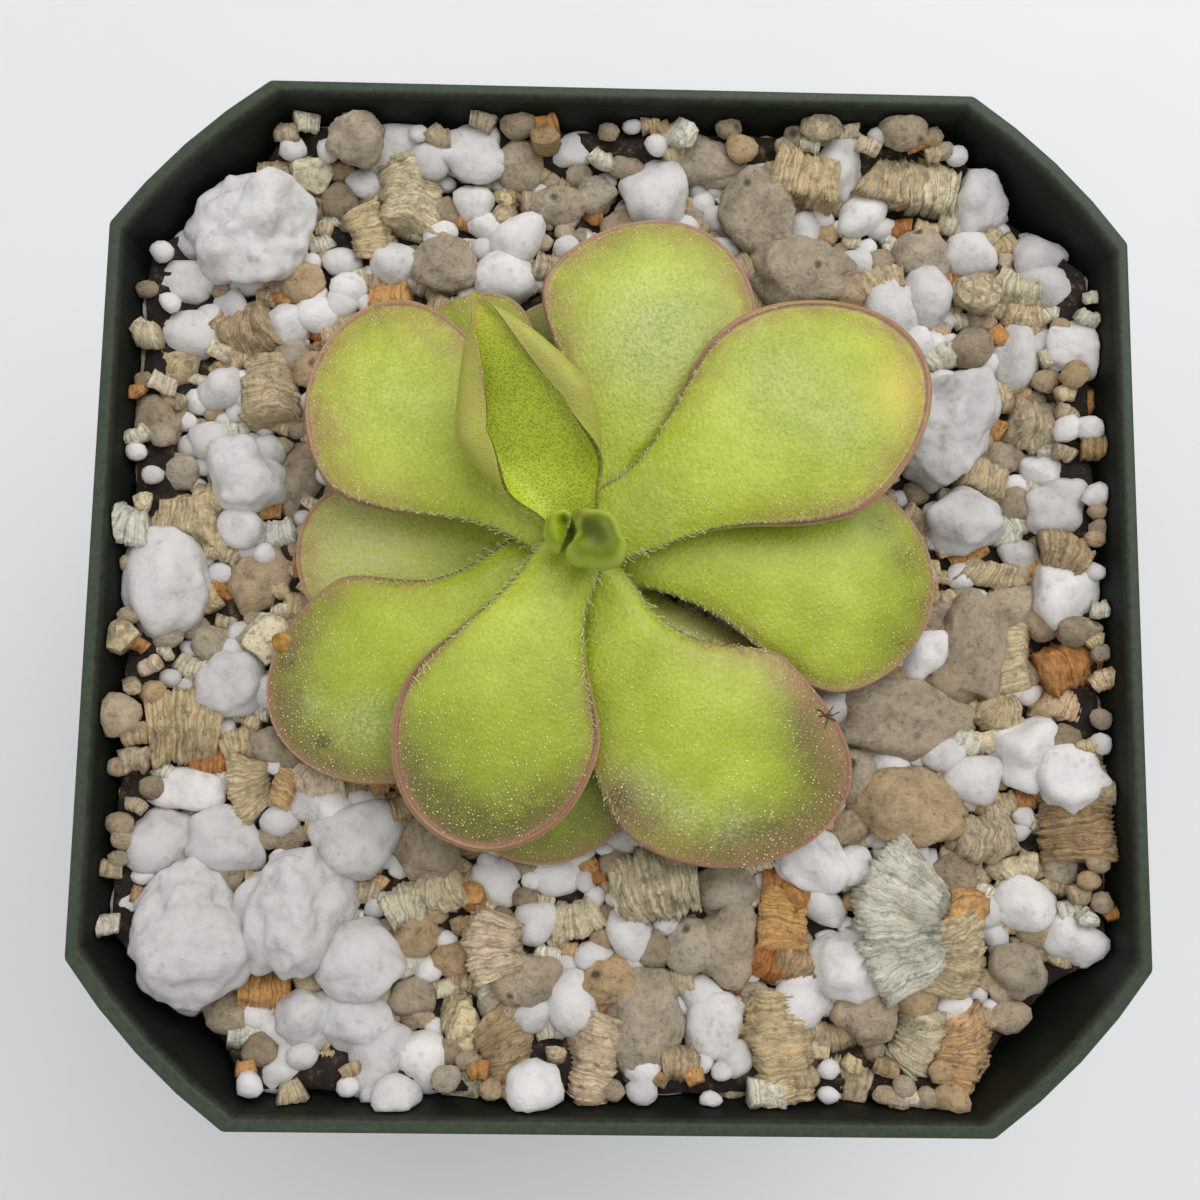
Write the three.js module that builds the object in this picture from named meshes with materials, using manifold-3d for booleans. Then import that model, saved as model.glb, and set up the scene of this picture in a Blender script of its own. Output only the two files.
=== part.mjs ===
import * as THREE from "three";
import { mergeVertices } from "three/addons/utils/BufferGeometryUtils.js";
import Module from "manifold-3d";

// A Mexican butterwort: a rosette of sticky leaves on a short stem, in a square nursery pot
// of loose mineral mix. Millimetres and degrees, +Z up, pot standing on z = 0.

const GAP = 0.3; // left between neighbouring pieces

const POT = {
  width: 76, // across the rim's flat sides
  height: 66,
  baseWidth: 54,
  wall: 1.0,
  bandHeight: 10, // the stiffer band under the rim
  bandStep: 1.4, // how far the band stands out from the wall below it
  bandFlare: 1.1, // how far the band leans out over its height
  crease: 0.7, // where a cut corner starts, as a share of the half width
  cornerBulge: 0.7, // how far a cut corner bows out at the rim
  cornerSteps: 4,
  floor: 1.4,
  footHeight: 1.6, // hollow under the floor, inside the foot ring
  footWidth: 1.8,
  drainRadius: 3.5,
  drainPitch: 15, // from the pot's centre to each corner drain, along X and Y
};

const MIX = {
  level: 60.8, // of the fines between the grains
  holeRadius: 2.4, // the plain hole that the root neck stands in
  holeFloor: 54.6,
  sunk: 0.25, // share of a grain's size below the fines
  proud: 0.64, // share above them
  leafClearance: 0.4, // from a grain up to a leaf
  leafSampling: 1.0, // half the spacing of the points that stand for a leaf's underside
  leastProud: 0.6, // a grain that stands out less is left out
  fineFrom: 8, // a pebble over this size has more sides,
  coarseTo: 3.9, // and one under this size fewer
  fillTries: 3000,
  fillSmallest: 2.8,
  fillLargest: 5.2,
  spacing: 0.4, // least distance between two fill grains, per sum of their sizes
};

const CROWN = { x: -2.4, y: 3.35, radius: 2.0, bottom: 54.9, top: 70.5 };

const ROSETTE = {
  lowest: 62.1, // height where the lowest leaf leaves the stem
  step: 0.6, // stem height from one leaf to the next
  leaves: 13,
  seat: 2.3, // from the stem's axis to a leaf's base
};

const BLADE = { baseThick: 0.75, midThick: 1.1, marginThick: 0.6 };

// Across the blade, from the midrib (0) to the margin (1).
const FLAT_ACROSS = [0, 0.4, 0.75, 0.9, 1];
const ROLLED_ACROSS = [0, 0.3, 0.5, 0.62, 0.74, 0.87, 1];

// What a leaf has unless its own row says otherwise. turn: compass direction of its middle.
// widest: where the blade is widest, as a share of length. rise: slope at the base.
// droop: how much the slope falls by the tip. bend: sideways curve of the midrib. cup: slope
// of the blade at the margin (negative is domed). curl: further upturn of the margin, from
// "start" outwards. early and late: share of that curl at the base and at the tip.
// roll: twist about the midrib by the tip. skew: left side wider than the right. ease: how
// late the blade widens, and lean: how much later on the left. point: how narrow the end is.
const LEAF = {
  neck: 3.8,
  widest: 0.62,
  rise: 9,
  droop: 22,
  bend: 0,
  cup: -14,
  curl: 50,
  start: 0.88,
  early: 0.25,
  late: 1,
  roll: 0,
  skew: 0,
  lean: 0,
  ease: 1,
  point: 0,
  seat: ROSETTE.seat,
  across: FLAT_ACROSS,
  rows: 7,
  tipRows: 4,
};

// Counted from the youngest leaf (0) down the stem, 137 degrees or so apart. The leaf that
// would be tenth has withered.
const LEAVES = [
  { name: "leaf_01", order: 1, turn: 253.2, length: 21.4, width: 14.4, neck: 5.1, widest: 0.59,
    rise: 10, droop: 25, bend: 22, curl: 75, start: 0.86, skew: -0.02, ease: 1.34 },
  { name: "leaf_02", order: 2, turn: 38, length: 26, width: 16.5, neck: 5.6, widest: 0.58,
    rise: 12, droop: 25, bend: 38.5, curl: 70, skew: 0.06, lean: -0.4, ease: 1.54 },
  { name: "leaf_03", order: 3, turn: 130.3, length: 21.8, width: 14.7, neck: 4.5, widest: 0.57,
    rise: 10, droop: 25, bend: -40, curl: 40, skew: 0.25, lean: 0.22, ease: 1.34, point: 0.07 },
  { name: "leaf_04", order: 4, turn: -42.2, length: 25, width: 16.7, neck: 3.9, widest: 0.59,
    rise: 10, droop: 25, bend: 40, curl: 15, skew: -0.25, lean: 0.5, ease: 1.76, point: 0.13 },
  { name: "leaf_05", order: 5, turn: 75, length: 23, width: 16.2, neck: 2.5, widest: 0.68,
    rise: 10, bend: 8, curl: 40, skew: 0.07, lean: 0.1, ease: 1.14, point: 0.14 },
  { name: "leaf_06", order: 6, turn: 209.4, length: 24.2, width: 15.5, neck: 7, widest: 0.63,
    rise: 8, bend: -19, curl: 35, skew: 0.06, lean: -0.5, ease: 2.2, point: 0.09 },
  { name: "leaf_07", order: 7, turn: -5.8, length: 24, width: 16.1, neck: 5, widest: 0.7,
    rise: 8, droop: 20, bend: 9, curl: 25, skew: -0.04, lean: -0.05, ease: 1.84, point: 0.12 },
  { name: "leaf_08", order: 8, turn: 119.1, length: 19.2, width: 13.2, widest: 0.72,
    rise: 6, droop: 16, bend: -12.5, curl: 20, skew: 0.24, point: -0.12 },
  { name: "leaf_09", order: 9, turn: 260, length: 21.7, width: 15, widest: 0.6,
    rise: 5, droop: 16, curl: 20, skew: 0.05 },
  { name: "leaf_11", order: 11, turn: 182.3, length: 19.4, width: 13.4,
    rise: 7, droop: 14, bend: -1.5, curl: 20, skew: 0.09 },
  { name: "leaf_12", order: 12, turn: -45.4, length: 18.4, width: 10.9, neck: 2.9, widest: 0.65,
    rise: 5, droop: 8, bend: 12, curl: 15, skew: -0.16 },
  { name: "leaf_13", order: 13, turn: 97, length: 17.2, width: 11.5,
    rise: 6, droop: 8, curl: 15 },
];

// The youngest leaf stands up with both margins still rolled in.
const YOUNG_LEAF = {
  name: "young_leaf", order: 0, turn: 117.7, length: 17.2, width: 14.1, neck: 5.4, widest: 0.41,
  rise: 27, droop: 4, bend: 9, cup: 10, curl: 172, start: 0.4, early: 0.32, late: 0.4,
  roll: -30, skew: 0.16, ease: 0.63, point: 0.68, seat: 2.6, across: ROLLED_ACROSS,
};

// Two buds stand on the stem's top, each a new leaf folded over itself. outline: its widest
// part seen from above, as x, y from the crown's axis. peak: where its top lies.
const BUDS = [
  { name: "bud_large", top: 74.5, peak: [0.8, -0.9], outline: [
    [0.62, 0.95], [-0.45, 0.85], [-0.58, 0.19], [-0.5, -0.54], [-0.72, -1.15], [-1.15, -1.55],
    [-1.2, -2.05], [-0.64, -2.68], [0.35, -2.79], [1.34, -2.97], [2.32, -2.63], [2.7, -1.69],
    [2.29, -0.49], [1.41, 0.83],
  ] },
  { name: "bud_small", top: 73.4, peak: [-1.9, -0.3], outline: [
    [-1.31, 1.03], [-1.98, 0.95], [-2.5, 0.61], [-2.69, -0.07], [-2.47, -1.22], [-2.25, -1.72],
    [-1.65, -1.85], [-1.55, -1.3], [-1.35, -0.85], [-1.25, -0.39], [-1.1, 0.02], [-1, 0.3],
    [-0.98, 0.75],
  ] },
];

const BUD_BASE = 70.9;

// A bud's shape up its height: share of the height, and share of the outline there.
const BUD_RINGS = [[0, 0.05], [0, 0.7], [0.2, 0.93], [0.4, 1], [0.65, 0.93], [0.85, 0.7],
  [0.96, 0.4], [1, 0.08]];

// The larger grains of the mix, each as x, y, size along X, size along Y.
const PERLITE = [
  [-28.5, 27.5, 9.5, 8.5], [-34.5, 23.5, 5.5, 3], [-17.5, 35.5, 5.5, 4], [-12, 34.5, 5.5, 5],
  [-3.5, 36, 4.5, 3], [2.5, 31.5, 5, 6], [0.5, 35, 2.5, 2.5], [17, 35.5, 4.5, 5.5],
  [28, 31.5, 4.5, 5.5], [21, 22, 4.5, 5.5], [24, 23.5, 4, 4.5], [33, 27, 4, 3.5],
  [34, 24.5, 5.5, 3.5], [31, 19, 3.5, 5.5], [24.5, 12.5, 8.5, 8], [26.5, 6, 6, 5],
  [34, 7, 5.5, 4.5], [34.5, 0.5, 5.5, 5.5], [23.5, -4.5, 3.5, 4], [31, -11.5, 5.5, 5.5],
  [34.5, -13, 5.5, 5.5], [30.5, -22.5, 4.5, 4], [34, -25, 4.5, 4], [15, -19.5, 5.5, 4.5],
  [18, -20, 3, 3], [17, -27, 5, 5], [14, -29.5, 4.5, 4], [7.5, -32, 4, 5.5], [-2.5, -30, 4, 4.5],
  [1.5, -25, 3.5, 4.5], [-5.5, -24.5, 3, 3], [-34.5, 0, 6.5, 8.5], [-28, 8.5, 5.5, 5.5],
  [-33, 19.5, 5, 3.5], [-30.5, 15.5, 3.5, 3.5], [-33, -19, 5.5, 5], [-28.5, -18.5, 5.5, 4.5],
  [-30, -25.5, 8.5, 11], [-23, -23.5, 8.5, 8.5], [-19, -18.5, 6.5, 5.5], [-18, -27, 6, 5.5],
  [-18.5, -31.5, 5.5, 4.5], [-22, -31.5, 4.5, 4.5], [-16.5, -35.5, 4.5, 5.5],
  [-13.5, -35.5, 4, 4.5], [-9, 24.5, 4.5, 4], [-8, 27.5, 4, 4], [-14, 28, 2.5, 2.5],
  [-11.5, 30.5, 3, 3], [-31.5, -15, 5.5, 3], [-4, -21, 4, 3.5], [-8.5, -21.5, 4, 3.5],
];
const VERMICULITE = [
  [-16.5, 31, 5, 6.5], [-19.5, 28, 4, 4.5], [14, 33, 5.5, 5.5], [22, 33, 8, 4.5],
  [24.5, 32, 4, 4], [-26.5, 15, 4.5, 5.5], [-35, 17, 4.5, 3.5], [-28.5, 20, 5.5, 4.5],
  [-33, 5, 5.5, 4.5], [-32, -10.5, 6, 6], [-27, -15, 3.5, 5.5], [-24, -14.5, 2.5, 4.5],
  [3, -21.5, 6.5, 6.5], [21, -23.5, 7, 11.5], [24.5, -26, 5.5, 6.5], [34.5, -16, 5.5, 8],
  [34, -5, 5, 4.5], [34.5, -8, 5.5, 3.5], [30, -3.5, 3, 8], [28.5, 2, 5.5, 2.5],
  [32, 13.5, 4.5, 4.5], [25.5, -33, 4.5, 6.5], [22, -33, 4.5, 6], [12.5, -24, 4, 5.5],
  [11.5, -27, 3.5, 3.5], [-8.5, -26, 5, 5.5], [-7.5, -33, 4.5, 6.5], [-1, -34.5, 5.5, 6.5],
  [12, -33.5, 5.5, 8], [-11, -31.5, 3, 5.5], [-2.5, -24, 4, 3], [-12.5, -22, 4, 3.5],
];
const CLAY = [
  [21.5, -9, 10.5, 6], [22, -15.5, 8.5, 5.5], [27, -3.5, 5.5, 8], [14, 25.5, 8, 5.5],
  [10.5, 30, 5.5, 7], [6.5, 35.5, 6, 4.5], [-5, 30.5, 4.5, 3], [-8, 34, 4, 4.5],
  [-13.5, 25.5, 5.5, 4.5], [-27.5, 0.5, 5.5, 6.5], [-24.5, 8.5, 4, 6.5], [2.5, -31.5, 5.5, 8],
  [8.5, -25.5, 4, 6.5], [-13.5, -19, 4.5, 4.5], [18.5, -13.5, 3, 4.5], [-6.5, -28.5, 5.5, 4],
  [6, -26, 4, 4], [30, -27.5, 4, 4], [18.5, -30.5, 4.5, 4.5],
];

const COLOURS = {
  pot: 0x3f5640,
  mix: 0xb5aa98,
  stem: 0x8a7a45,
  leaf: 0xa8be3c,
  young: 0xb0c565,
  bud: 0x92b440,
};

const UP = new THREE.Vector3(0, 0, 1);
const wasm = await Module();
wasm.setup();

const radians = THREE.MathUtils.degToRad;

function smooth(x) {
  const t = Math.min(Math.max(x, 0), 1);
  return t * t * (3 - 2 * t);
}

// Repeatable draws from 0 to 1.
function drawsFrom(seed) {
  let state = seed;
  return () => {
    state = (state * 1664525 + 1013904223) % 4294967296;
    return state / 4294967296;
  };
}

// ---- closed geometry and booleans ----

// One vertex per place, with the triangles that collapse at a pole left out.
function weld(geometry) {
  const loose = geometry.index ? geometry.toNonIndexed() : geometry;
  const bare = new THREE.BufferGeometry();
  bare.setAttribute("position", loose.getAttribute("position"));
  const merged = mergeVertices(bare, 1e-4);
  const kept = [];
  for (let i = 0; i < merged.index.count; i += 3) {
    const [a, b, c] = [0, 1, 2].map((k) => merged.index.getX(i + k));
    if (a !== b && b !== c && c !== a) {
      kept.push(a, b, c);
    }
  }
  merged.setIndex(kept);
  return merged;
}

function toSolid(geometry) {
  const closed = weld(geometry);
  const mesh = new wasm.Mesh({
    numProp: 3,
    vertProperties: closed.attributes.position.array,
    triVerts: new Uint32Array(closed.index.array),
  });
  return new wasm.Manifold(mesh);
}

function toGeometry(solid) {
  const mesh = solid.getMesh();
  const geometry = new THREE.BufferGeometry();
  geometry.setAttribute("position", new THREE.BufferAttribute(mesh.vertProperties, 3));
  geometry.setIndex(new THREE.BufferAttribute(mesh.triVerts, 1));
  return geometry;
}

// The outer body alone, without the pockets shut in between grains.
function withoutPockets(body) {
  return body.decompose().reduce((a, b) => (b.volume() > a.volume() ? b : a));
}

function fromTriangles(points, triangles) {
  const geometry = new THREE.BufferGeometry().setFromPoints(points);
  geometry.setIndex(triangles);
  return geometry;
}

function toMesh(name, geometry, colour, roughness) {
  const material = new THREE.MeshStandardMaterial({ color: colour, roughness });
  geometry.computeVertexNormals();
  const mesh = new THREE.Mesh(geometry, material);
  mesh.name = name;
  return mesh;
}

// ---- pot ----

// One turn of the pot's outline: four flat sides joined by cut, slightly bowed corners.
function potRing(z, half) {
  const ring = [];
  const cut = 1 - POT.crease;
  const bulge = (POT.cornerBulge * Math.SQRT1_2 * half) / (POT.width / 2);
  for (let corner = 0; corner < 4; corner++) {
    for (let i = 0; i <= POT.cornerSteps; i++) {
      const t = i / POT.cornerSteps;
      const bow = bulge * 4 * t * (1 - t);
      const x = half * (1 - cut * t) + bow;
      const y = half * (POT.crease + cut * t) + bow;
      ring.push(new THREE.Vector3(x, y, z).applyAxisAngle(UP, (corner * Math.PI) / 2));
    }
  }
  return ring;
}

// Skins a stack of rings and closes both ends. The first cap faces down, the last one up.
function loft(rings) {
  const count = rings[0].length;
  const triangles = [];
  for (let i = 1; i < count - 1; i++) {
    const top = (rings.length - 1) * count;
    triangles.push(0, i + 1, i);
    triangles.push(top, top + i, top + i + 1);
  }
  for (let r = 0; r < rings.length - 1; r++) {
    for (let i = 0; i < count; i++) {
      const a = r * count + i;
      const b = r * count + ((i + 1) % count);
      triangles.push(a, b, b + count);
      triangles.push(a, b + count, a + count);
    }
  }
  return fromTriangles(rings.flat(), triangles);
}

const POT_BAND = POT.height - POT.bandHeight; // height of the band's lower edge
const POT_FLOOR = POT.footHeight + POT.floor; // height of the floor's upper face
const POT_LIP = POT.width / 2;
const BAND_BOTTOM = POT_LIP - POT.bandFlare;
const WALL_TOP = BAND_BOTTOM - POT.bandStep;
const MIX_HALF = BAND_BOTTOM - POT.wall + 0.4; // half width of the pot's inside round the grains

function outerHalf(z) {
  return POT.baseWidth / 2 + ((WALL_TOP - POT.baseWidth / 2) * z) / POT_BAND;
}

// Half width of the pot's inside up its height, drawn in by "inset".
function innerProfile(inset) {
  return [
    [POT_FLOOR, outerHalf(POT_FLOOR) - POT.wall - inset],
    [POT_BAND + 0.4, outerHalf(POT_BAND) - POT.wall - inset],
    [POT_BAND + 1.6, BAND_BOTTOM - POT.wall - inset],
    [POT.height - 0.4, POT_LIP - 0.1 - POT.wall - inset],
  ];
}

function potBody() {
  const hollow = POT.baseWidth / 2 - POT.footWidth;
  const outside = [
    [POT.footHeight, hollow - 0.2],
    [0, hollow],
    [0, POT.baseWidth / 2],
    [POT_BAND, WALL_TOP],
    [POT_BAND, BAND_BOTTOM],
    [POT.height - 0.3, POT_LIP],
    [POT.height, POT_LIP - 0.2],
    [POT.height, POT_LIP - POT.wall + 0.1],
  ];
  const profile = outside.concat(innerProfile(0).reverse());
  let shell = toSolid(loft(profile.map(([z, half]) => potRing(z, half))));
  for (const [x, y] of drainPlaces()) {
    const drain = new THREE.CylinderGeometry(POT.drainRadius, POT.drainRadius, 3 * POT_FLOOR, 20);
    drain.rotateX(Math.PI / 2);
    drain.translate(x, y, POT_FLOOR);
    shell = shell.subtract(toSolid(drain));
  }
  return toGeometry(shell);
}

function drainPlaces() {
  const p = POT.drainPitch;
  return [[p, p], [-p, p], [-p, -p], [p, -p], [0, 0]];
}

// ---- leaves ----

// Half of the blade's cross section, from the midrib out, for a half width of 1.
function crossSection(leaf, curl) {
  const steps = 48;
  const table = [{ across: 0, lift: 0, slope: 0 }];
  for (let i = 1; i <= steps; i++) {
    const r = i / steps;
    const upturn = curl * smooth((r - leaf.start) / (1 - leaf.start));
    const slope = radians(leaf.cup * r + upturn);
    const last = table[i - 1];
    table.push({
      across: last.across + (Math.cos(slope) + Math.cos(last.slope)) / 2 / steps,
      lift: last.lift + (Math.sin(slope) + Math.sin(last.slope)) / 2 / steps,
      slope,
    });
  }
  return (r) => {
    const place = Math.min(r, 1) * steps;
    const i = Math.min(Math.floor(place), steps - 1);
    const f = place - i;
    const at = (key) => table[i][key] * (1 - f) + table[i + 1][key] * f;
    return { across: at("across"), lift: at("lift"), slope: at("slope") };
  };
}

// The midrib: an arc in the vertical, with a sideways bend.
function midrib(leaf) {
  const steps = 60;
  const first = radians(leaf.turn - leaf.bend / 2);
  const base = ROSETTE.lowest + ROSETTE.step * (ROSETTE.leaves - leaf.order);
  const point = new THREE.Vector3(
    CROWN.x + leaf.seat * Math.cos(first),
    CROWN.y + leaf.seat * Math.sin(first),
    base,
  );
  const stations = [];
  for (let i = 0; i <= steps; i++) {
    const slope = radians(leaf.rise - (leaf.droop * i) / steps);
    const turn = radians(leaf.turn + leaf.bend * (i / steps - 0.5));
    const tangent = new THREE.Vector3(
      Math.cos(slope) * Math.cos(turn),
      Math.cos(slope) * Math.sin(turn),
      Math.sin(slope),
    );
    if (i > 0) {
      const last = stations[i - 1].tangent;
      const half = leaf.length / steps / 2;
      point.addScaledVector(last, half).addScaledVector(tangent, half);
    }
    const side = new THREE.Vector3(-Math.sin(turn), Math.cos(turn), 0);
    stations.push({ point: point.clone(), tangent, side });
  }
  return (x) => {
    const place = (Math.min(Math.max(x, 0), leaf.length) / leaf.length) * steps;
    const i = Math.min(Math.floor(place), steps - 1);
    const f = place - i;
    const at = (key) => stations[i][key].clone().lerp(stations[i + 1][key], f);
    const tangent = at("tangent").normalize();
    const side = at("side");
    const face = tangent.clone().cross(side);
    const twist = radians((leaf.roll * x) / leaf.length);
    side.applyAxisAngle(tangent, twist);
    face.applyAxisAngle(tangent, twist);
    return { point: at("point"), tangent, side, face };
  };
}

// Where a row of the blade lies: rows run up the neck, then fan round the end.
function bladeRow(leaf, row, u) {
  const half = leaf.width / 2;
  const widest = leaf.widest * leaf.length;
  if (row < leaf.rows) {
    const s = row / leaf.rows;
    const e = smooth(s) ** (leaf.ease * (1 + leaf.lean * Math.sign(u)));
    return {
      out: Math.abs(u),
      x: widest * s,
      reach: 0,
      width: (leaf.neck / 2 + (half - leaf.neck / 2) * e) * (1 + leaf.skew * Math.sign(u)),
      along: 0,
      aside: Math.sign(u),
    };
  }
  const angle = (Math.PI / 2) * ((row - leaf.rows) / leaf.tipRows);
  const along = Math.sin(angle);
  const aside = u * Math.cos(angle);
  const out = Math.hypot(along, aside);
  return {
    out,
    x: widest,
    reach: leaf.length - widest,
    width: half * (1 + leaf.skew * Math.sign(u) * Math.cos(angle)) * (1 - leaf.point * along),
    along: out > 0 ? along / out : 0,
    aside: out > 0 ? aside / out : 0,
  };
}

function rowCurl(leaf, row) {
  if (row < leaf.rows) {
    return leaf.curl * (leaf.early + (1 - leaf.early) * smooth(row / leaf.rows));
  }
  const end = Math.sin((Math.PI / 2) * ((row - leaf.rows) / leaf.tipRows)) ** 2;
  return leaf.curl * (1 - (1 - leaf.late) * end);
}

function bladeThickness(leaf, x, out) {
  const filled = smooth(x / (0.35 * leaf.length));
  const body = BLADE.baseThick + (BLADE.midThick - BLADE.baseThick) * filled;
  return BLADE.marginThick + (body - BLADE.marginThick) * (1 - out ** 4);
}

// Rows of points on the blade's two faces, each with its upper and lower point.
function bladeFaces(leaf) {
  const across = leaf.across.slice(1).reverse().map((u) => -u).concat(leaf.across);
  const rib = midrib(leaf);
  const faces = [];
  for (let row = 0; row <= leaf.rows + leaf.tipRows; row++) {
    const section = crossSection(leaf, rowCurl(leaf, row));
    faces.push(
      across.map((u) => {
        const spot = bladeRow(leaf, row, u);
        const cut = section(spot.out);
        const x = spot.x + spot.reach * cut.across * spot.along;
        const { point, tangent, side, face } = rib(x);
        const middle = point
          .addScaledVector(side, spot.width * cut.across * spot.aside)
          .addScaledVector(face, spot.width * cut.lift);
        const outward = tangent.multiplyScalar(spot.along).addScaledVector(side, spot.aside);
        const normal = face.multiplyScalar(Math.cos(cut.slope));
        normal.addScaledVector(outward, -Math.sin(cut.slope));
        normal.setLength(bladeThickness(leaf, x, spot.out) / 2);
        return { upper: middle.clone().add(normal), lower: middle.clone().sub(normal) };
      }),
    );
  }
  return faces;
}

// Closes the two faces round the margin. Both are cut into triangles alike.
function bladeSolid(leaf) {
  const faces = bladeFaces(leaf);
  const columns = faces[0].length;
  const points = faces.flat().flatMap(({ upper, lower }) => [upper, lower]);
  const upper = (row, column) => 2 * (row * columns + column);
  const lower = (row, column) => upper(row, column) + 1;
  const triangles = [];
  const quad = (a, b, c, d) => triangles.push(a, b, c, a, c, d);
  for (let row = 0; row < faces.length - 1; row++) {
    for (let c = 0; c < columns - 1; c++) {
      quad(upper(row, c), upper(row + 1, c), upper(row + 1, c + 1), upper(row, c + 1));
      triangles.push(lower(row, c), lower(row + 1, c + 1), lower(row + 1, c));
      triangles.push(lower(row, c), lower(row, c + 1), lower(row + 1, c + 1));
    }
    const last = columns - 1;
    quad(upper(row, 0), lower(row, 0), lower(row + 1, 0), upper(row + 1, 0));
    quad(upper(row, last), upper(row + 1, last), lower(row + 1, last), lower(row, last));
  }
  for (let c = 0; c < columns - 1; c++) {
    quad(upper(0, c), upper(0, c + 1), lower(0, c + 1), lower(0, c));
  }
  return weld(fromTriangles(points, triangles));
}

const YOUNG = { ...LEAF, ...YOUNG_LEAF };
const GROWN = LEAVES.map((leaf) => ({ ...LEAF, ...leaf }));

// A bud's outline, drawn in towards its base and its top.
function budSolid(bud) {
  const [peakX, peakY] = bud.peak;
  const rings = BUD_RINGS.map(([rise, share]) => {
    const z = BUD_BASE + (bud.top - BUD_BASE) * rise;
    return bud.outline.map(([x, y]) => {
      const across = CROWN.x + peakX + (x - peakX) * share;
      const back = CROWN.y + peakY + (y - peakY) * share;
      return new THREE.Vector3(across, back, z);
    });
  });
  return weld(loft(rings));
}

// ---- stem ----

function stemBody() {
  const { bottom, top, radius } = CROWN;
  const profile = [
    [0, bottom],
    [0.9, bottom],
    [1.5, bottom + 3],
    [radius, MIX.level],
    [radius, top - 0.4],
    [radius * 0.9, top - 0.1],
    [0, top],
  ].map(([x, z]) => new THREE.Vector2(x, z));
  const body = new THREE.LatheGeometry(profile, 16);
  body.rotateX(Math.PI / 2);
  body.translate(CROWN.x, CROWN.y, 0);
  return weld(body);
}

// ---- growing mix ----

// Lowest leaf underside over a disc, or Infinity where no leaf hangs.
function ceilingOver(undersides, x, y, reach) {
  let ceiling = Infinity;
  for (const point of undersides) {
    if (Math.hypot(point.x - x, point.y - y) < reach + MIX.leafSampling) {
      ceiling = Math.min(ceiling, point.z);
    }
  }
  return ceiling;
}

// Sinks a grain that would touch a leaf. One that would not show at all is left out.
function seatGrain(grain, undersides) {
  const size = Math.min(grain.width, grain.depth);
  const ceiling = ceilingOver(undersides, grain.x, grain.y, Math.max(grain.width, grain.depth) / 2);
  const top = Math.min(MIX.level + MIX.proud * size, ceiling - MIX.leafClearance);
  if (top < MIX.level + MIX.leastProud) {
    return null;
  }
  const height = size * (MIX.proud + MIX.sunk);
  return { ...grain, size, height, z: top - height / 2 };
}

function largeGrains(undersides) {
  const rows = [
    ...PERLITE.map((row) => ["perlite", ...row]),
    ...VERMICULITE.map((row) => ["vermiculite", ...row]),
    ...CLAY.map((row) => ["clay", ...row]),
  ];
  return rows
    .map(([kind, x, y, width, depth]) => {
      const limit = (place, size) => {
        const furthest = MIX_HALF - size * 0.4;
        return THREE.MathUtils.clamp(place, -furthest, furthest);
      };
      return { kind, x: limit(x, width), y: limit(y, depth), width, depth };
    })
    .map((grain) => seatGrain(grain, undersides))
    .filter(Boolean);
}

// Smaller grains dropped at random where no grain lies yet.
function fillGrains(large, undersides) {
  const draw = drawsFrom(2024);
  const grains = [];
  for (let i = 0; i < MIX.fillTries; i++) {
    const x = (draw() * 2 - 1) * MIX_HALF;
    const y = (draw() * 2 - 1) * MIX_HALF;
    const size = MIX.fillSmallest + (MIX.fillLargest - MIX.fillSmallest) * draw() ** 2;
    const kind = ["perlite", "vermiculite", "clay"][Math.floor(draw() * 3)];
    const aspect = 0.75 + 0.25 * draw();
    const inCorner = Math.abs(x) + Math.abs(y) > MIX_HALF * (1 + POT.crease) - size / 2;
    const crowded = large.concat(grains).some((other) => {
      const reach = MIX.spacing * (size + (other.width + other.depth) / 2);
      return Math.hypot(other.x - x, other.y - y) < reach;
    });
    if (inCorner || crowded) {
      continue;
    }
    const grain = seatGrain({ kind, x, y, width: size, depth: size * aspect }, undersides);
    if (grain) {
      grains.push(grain);
    }
  }
  return grains;
}

// A rough pebble inside the grain's ellipsoid, its corners drawn in at random.
function pebbleShape(grain, draw) {
  const ball = {
    fine: () => new THREE.IcosahedronGeometry(1, 1),
    plain: () => new THREE.IcosahedronGeometry(1, 0),
    coarse: () => new THREE.OctahedronGeometry(1, 0),
  };
  const cut = grain.size > MIX.fineFrom ? "fine" : grain.size > MIX.coarseTo ? "plain" : "coarse";
  const shape = weld(ball[cut]());
  const corners = shape.getAttribute("position");
  const point = new THREE.Vector3();
  for (let i = 0; i < corners.count; i++) {
    point.fromBufferAttribute(corners, i).multiplyScalar(0.88 + 0.12 * draw());
    corners.setXYZ(i, point.x, point.y, point.z);
  }
  shape.rotateX(draw() * 0.7);
  shape.rotateZ(draw() * Math.PI);
  shape.scale(grain.width / 2, grain.depth / 2, grain.height / 2);
  return toSolid(shape);
}

// A flake of vermiculite: two stacked plates, one slid over the other.
function flakeShape(grain, draw) {
  const plate = (share, z) => {
    const box = new THREE.BoxGeometry(grain.width * share, grain.depth * share, grain.height * 0.45);
    box.translate((draw() - 0.5) * grain.width * 0.15, (draw() - 0.5) * grain.depth * 0.15, z);
    return toSolid(box);
  };
  const stacked = grain.size > MIX.coarseTo;
  const base = plate(0.86, stacked ? -grain.height * 0.15 : grain.height * 0.1);
  const flake = stacked ? base.add(plate(0.78, grain.height * 0.18)) : base;
  const tilt = (draw() - 0.5) * 24;
  return flake.rotate([tilt, (draw() - 0.5) * 24, (draw() - 0.5) * 30]);
}

function grainSolid(grain, index) {
  const draw = drawsFrom(index + 11);
  draw();
  const shape = grain.kind === "vermiculite" ? flakeShape(grain, draw) : pebbleShape(grain, draw);
  return shape.translate([grain.x, grain.y, grain.z]);
}

// The pot's inside, less the gap all round.
function potRoom() {
  const profile = innerProfile(GAP + 0.05);
  profile[0][0] += GAP;
  return toSolid(loft(profile.map(([z, half]) => potRing(z, half))));
}

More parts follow.
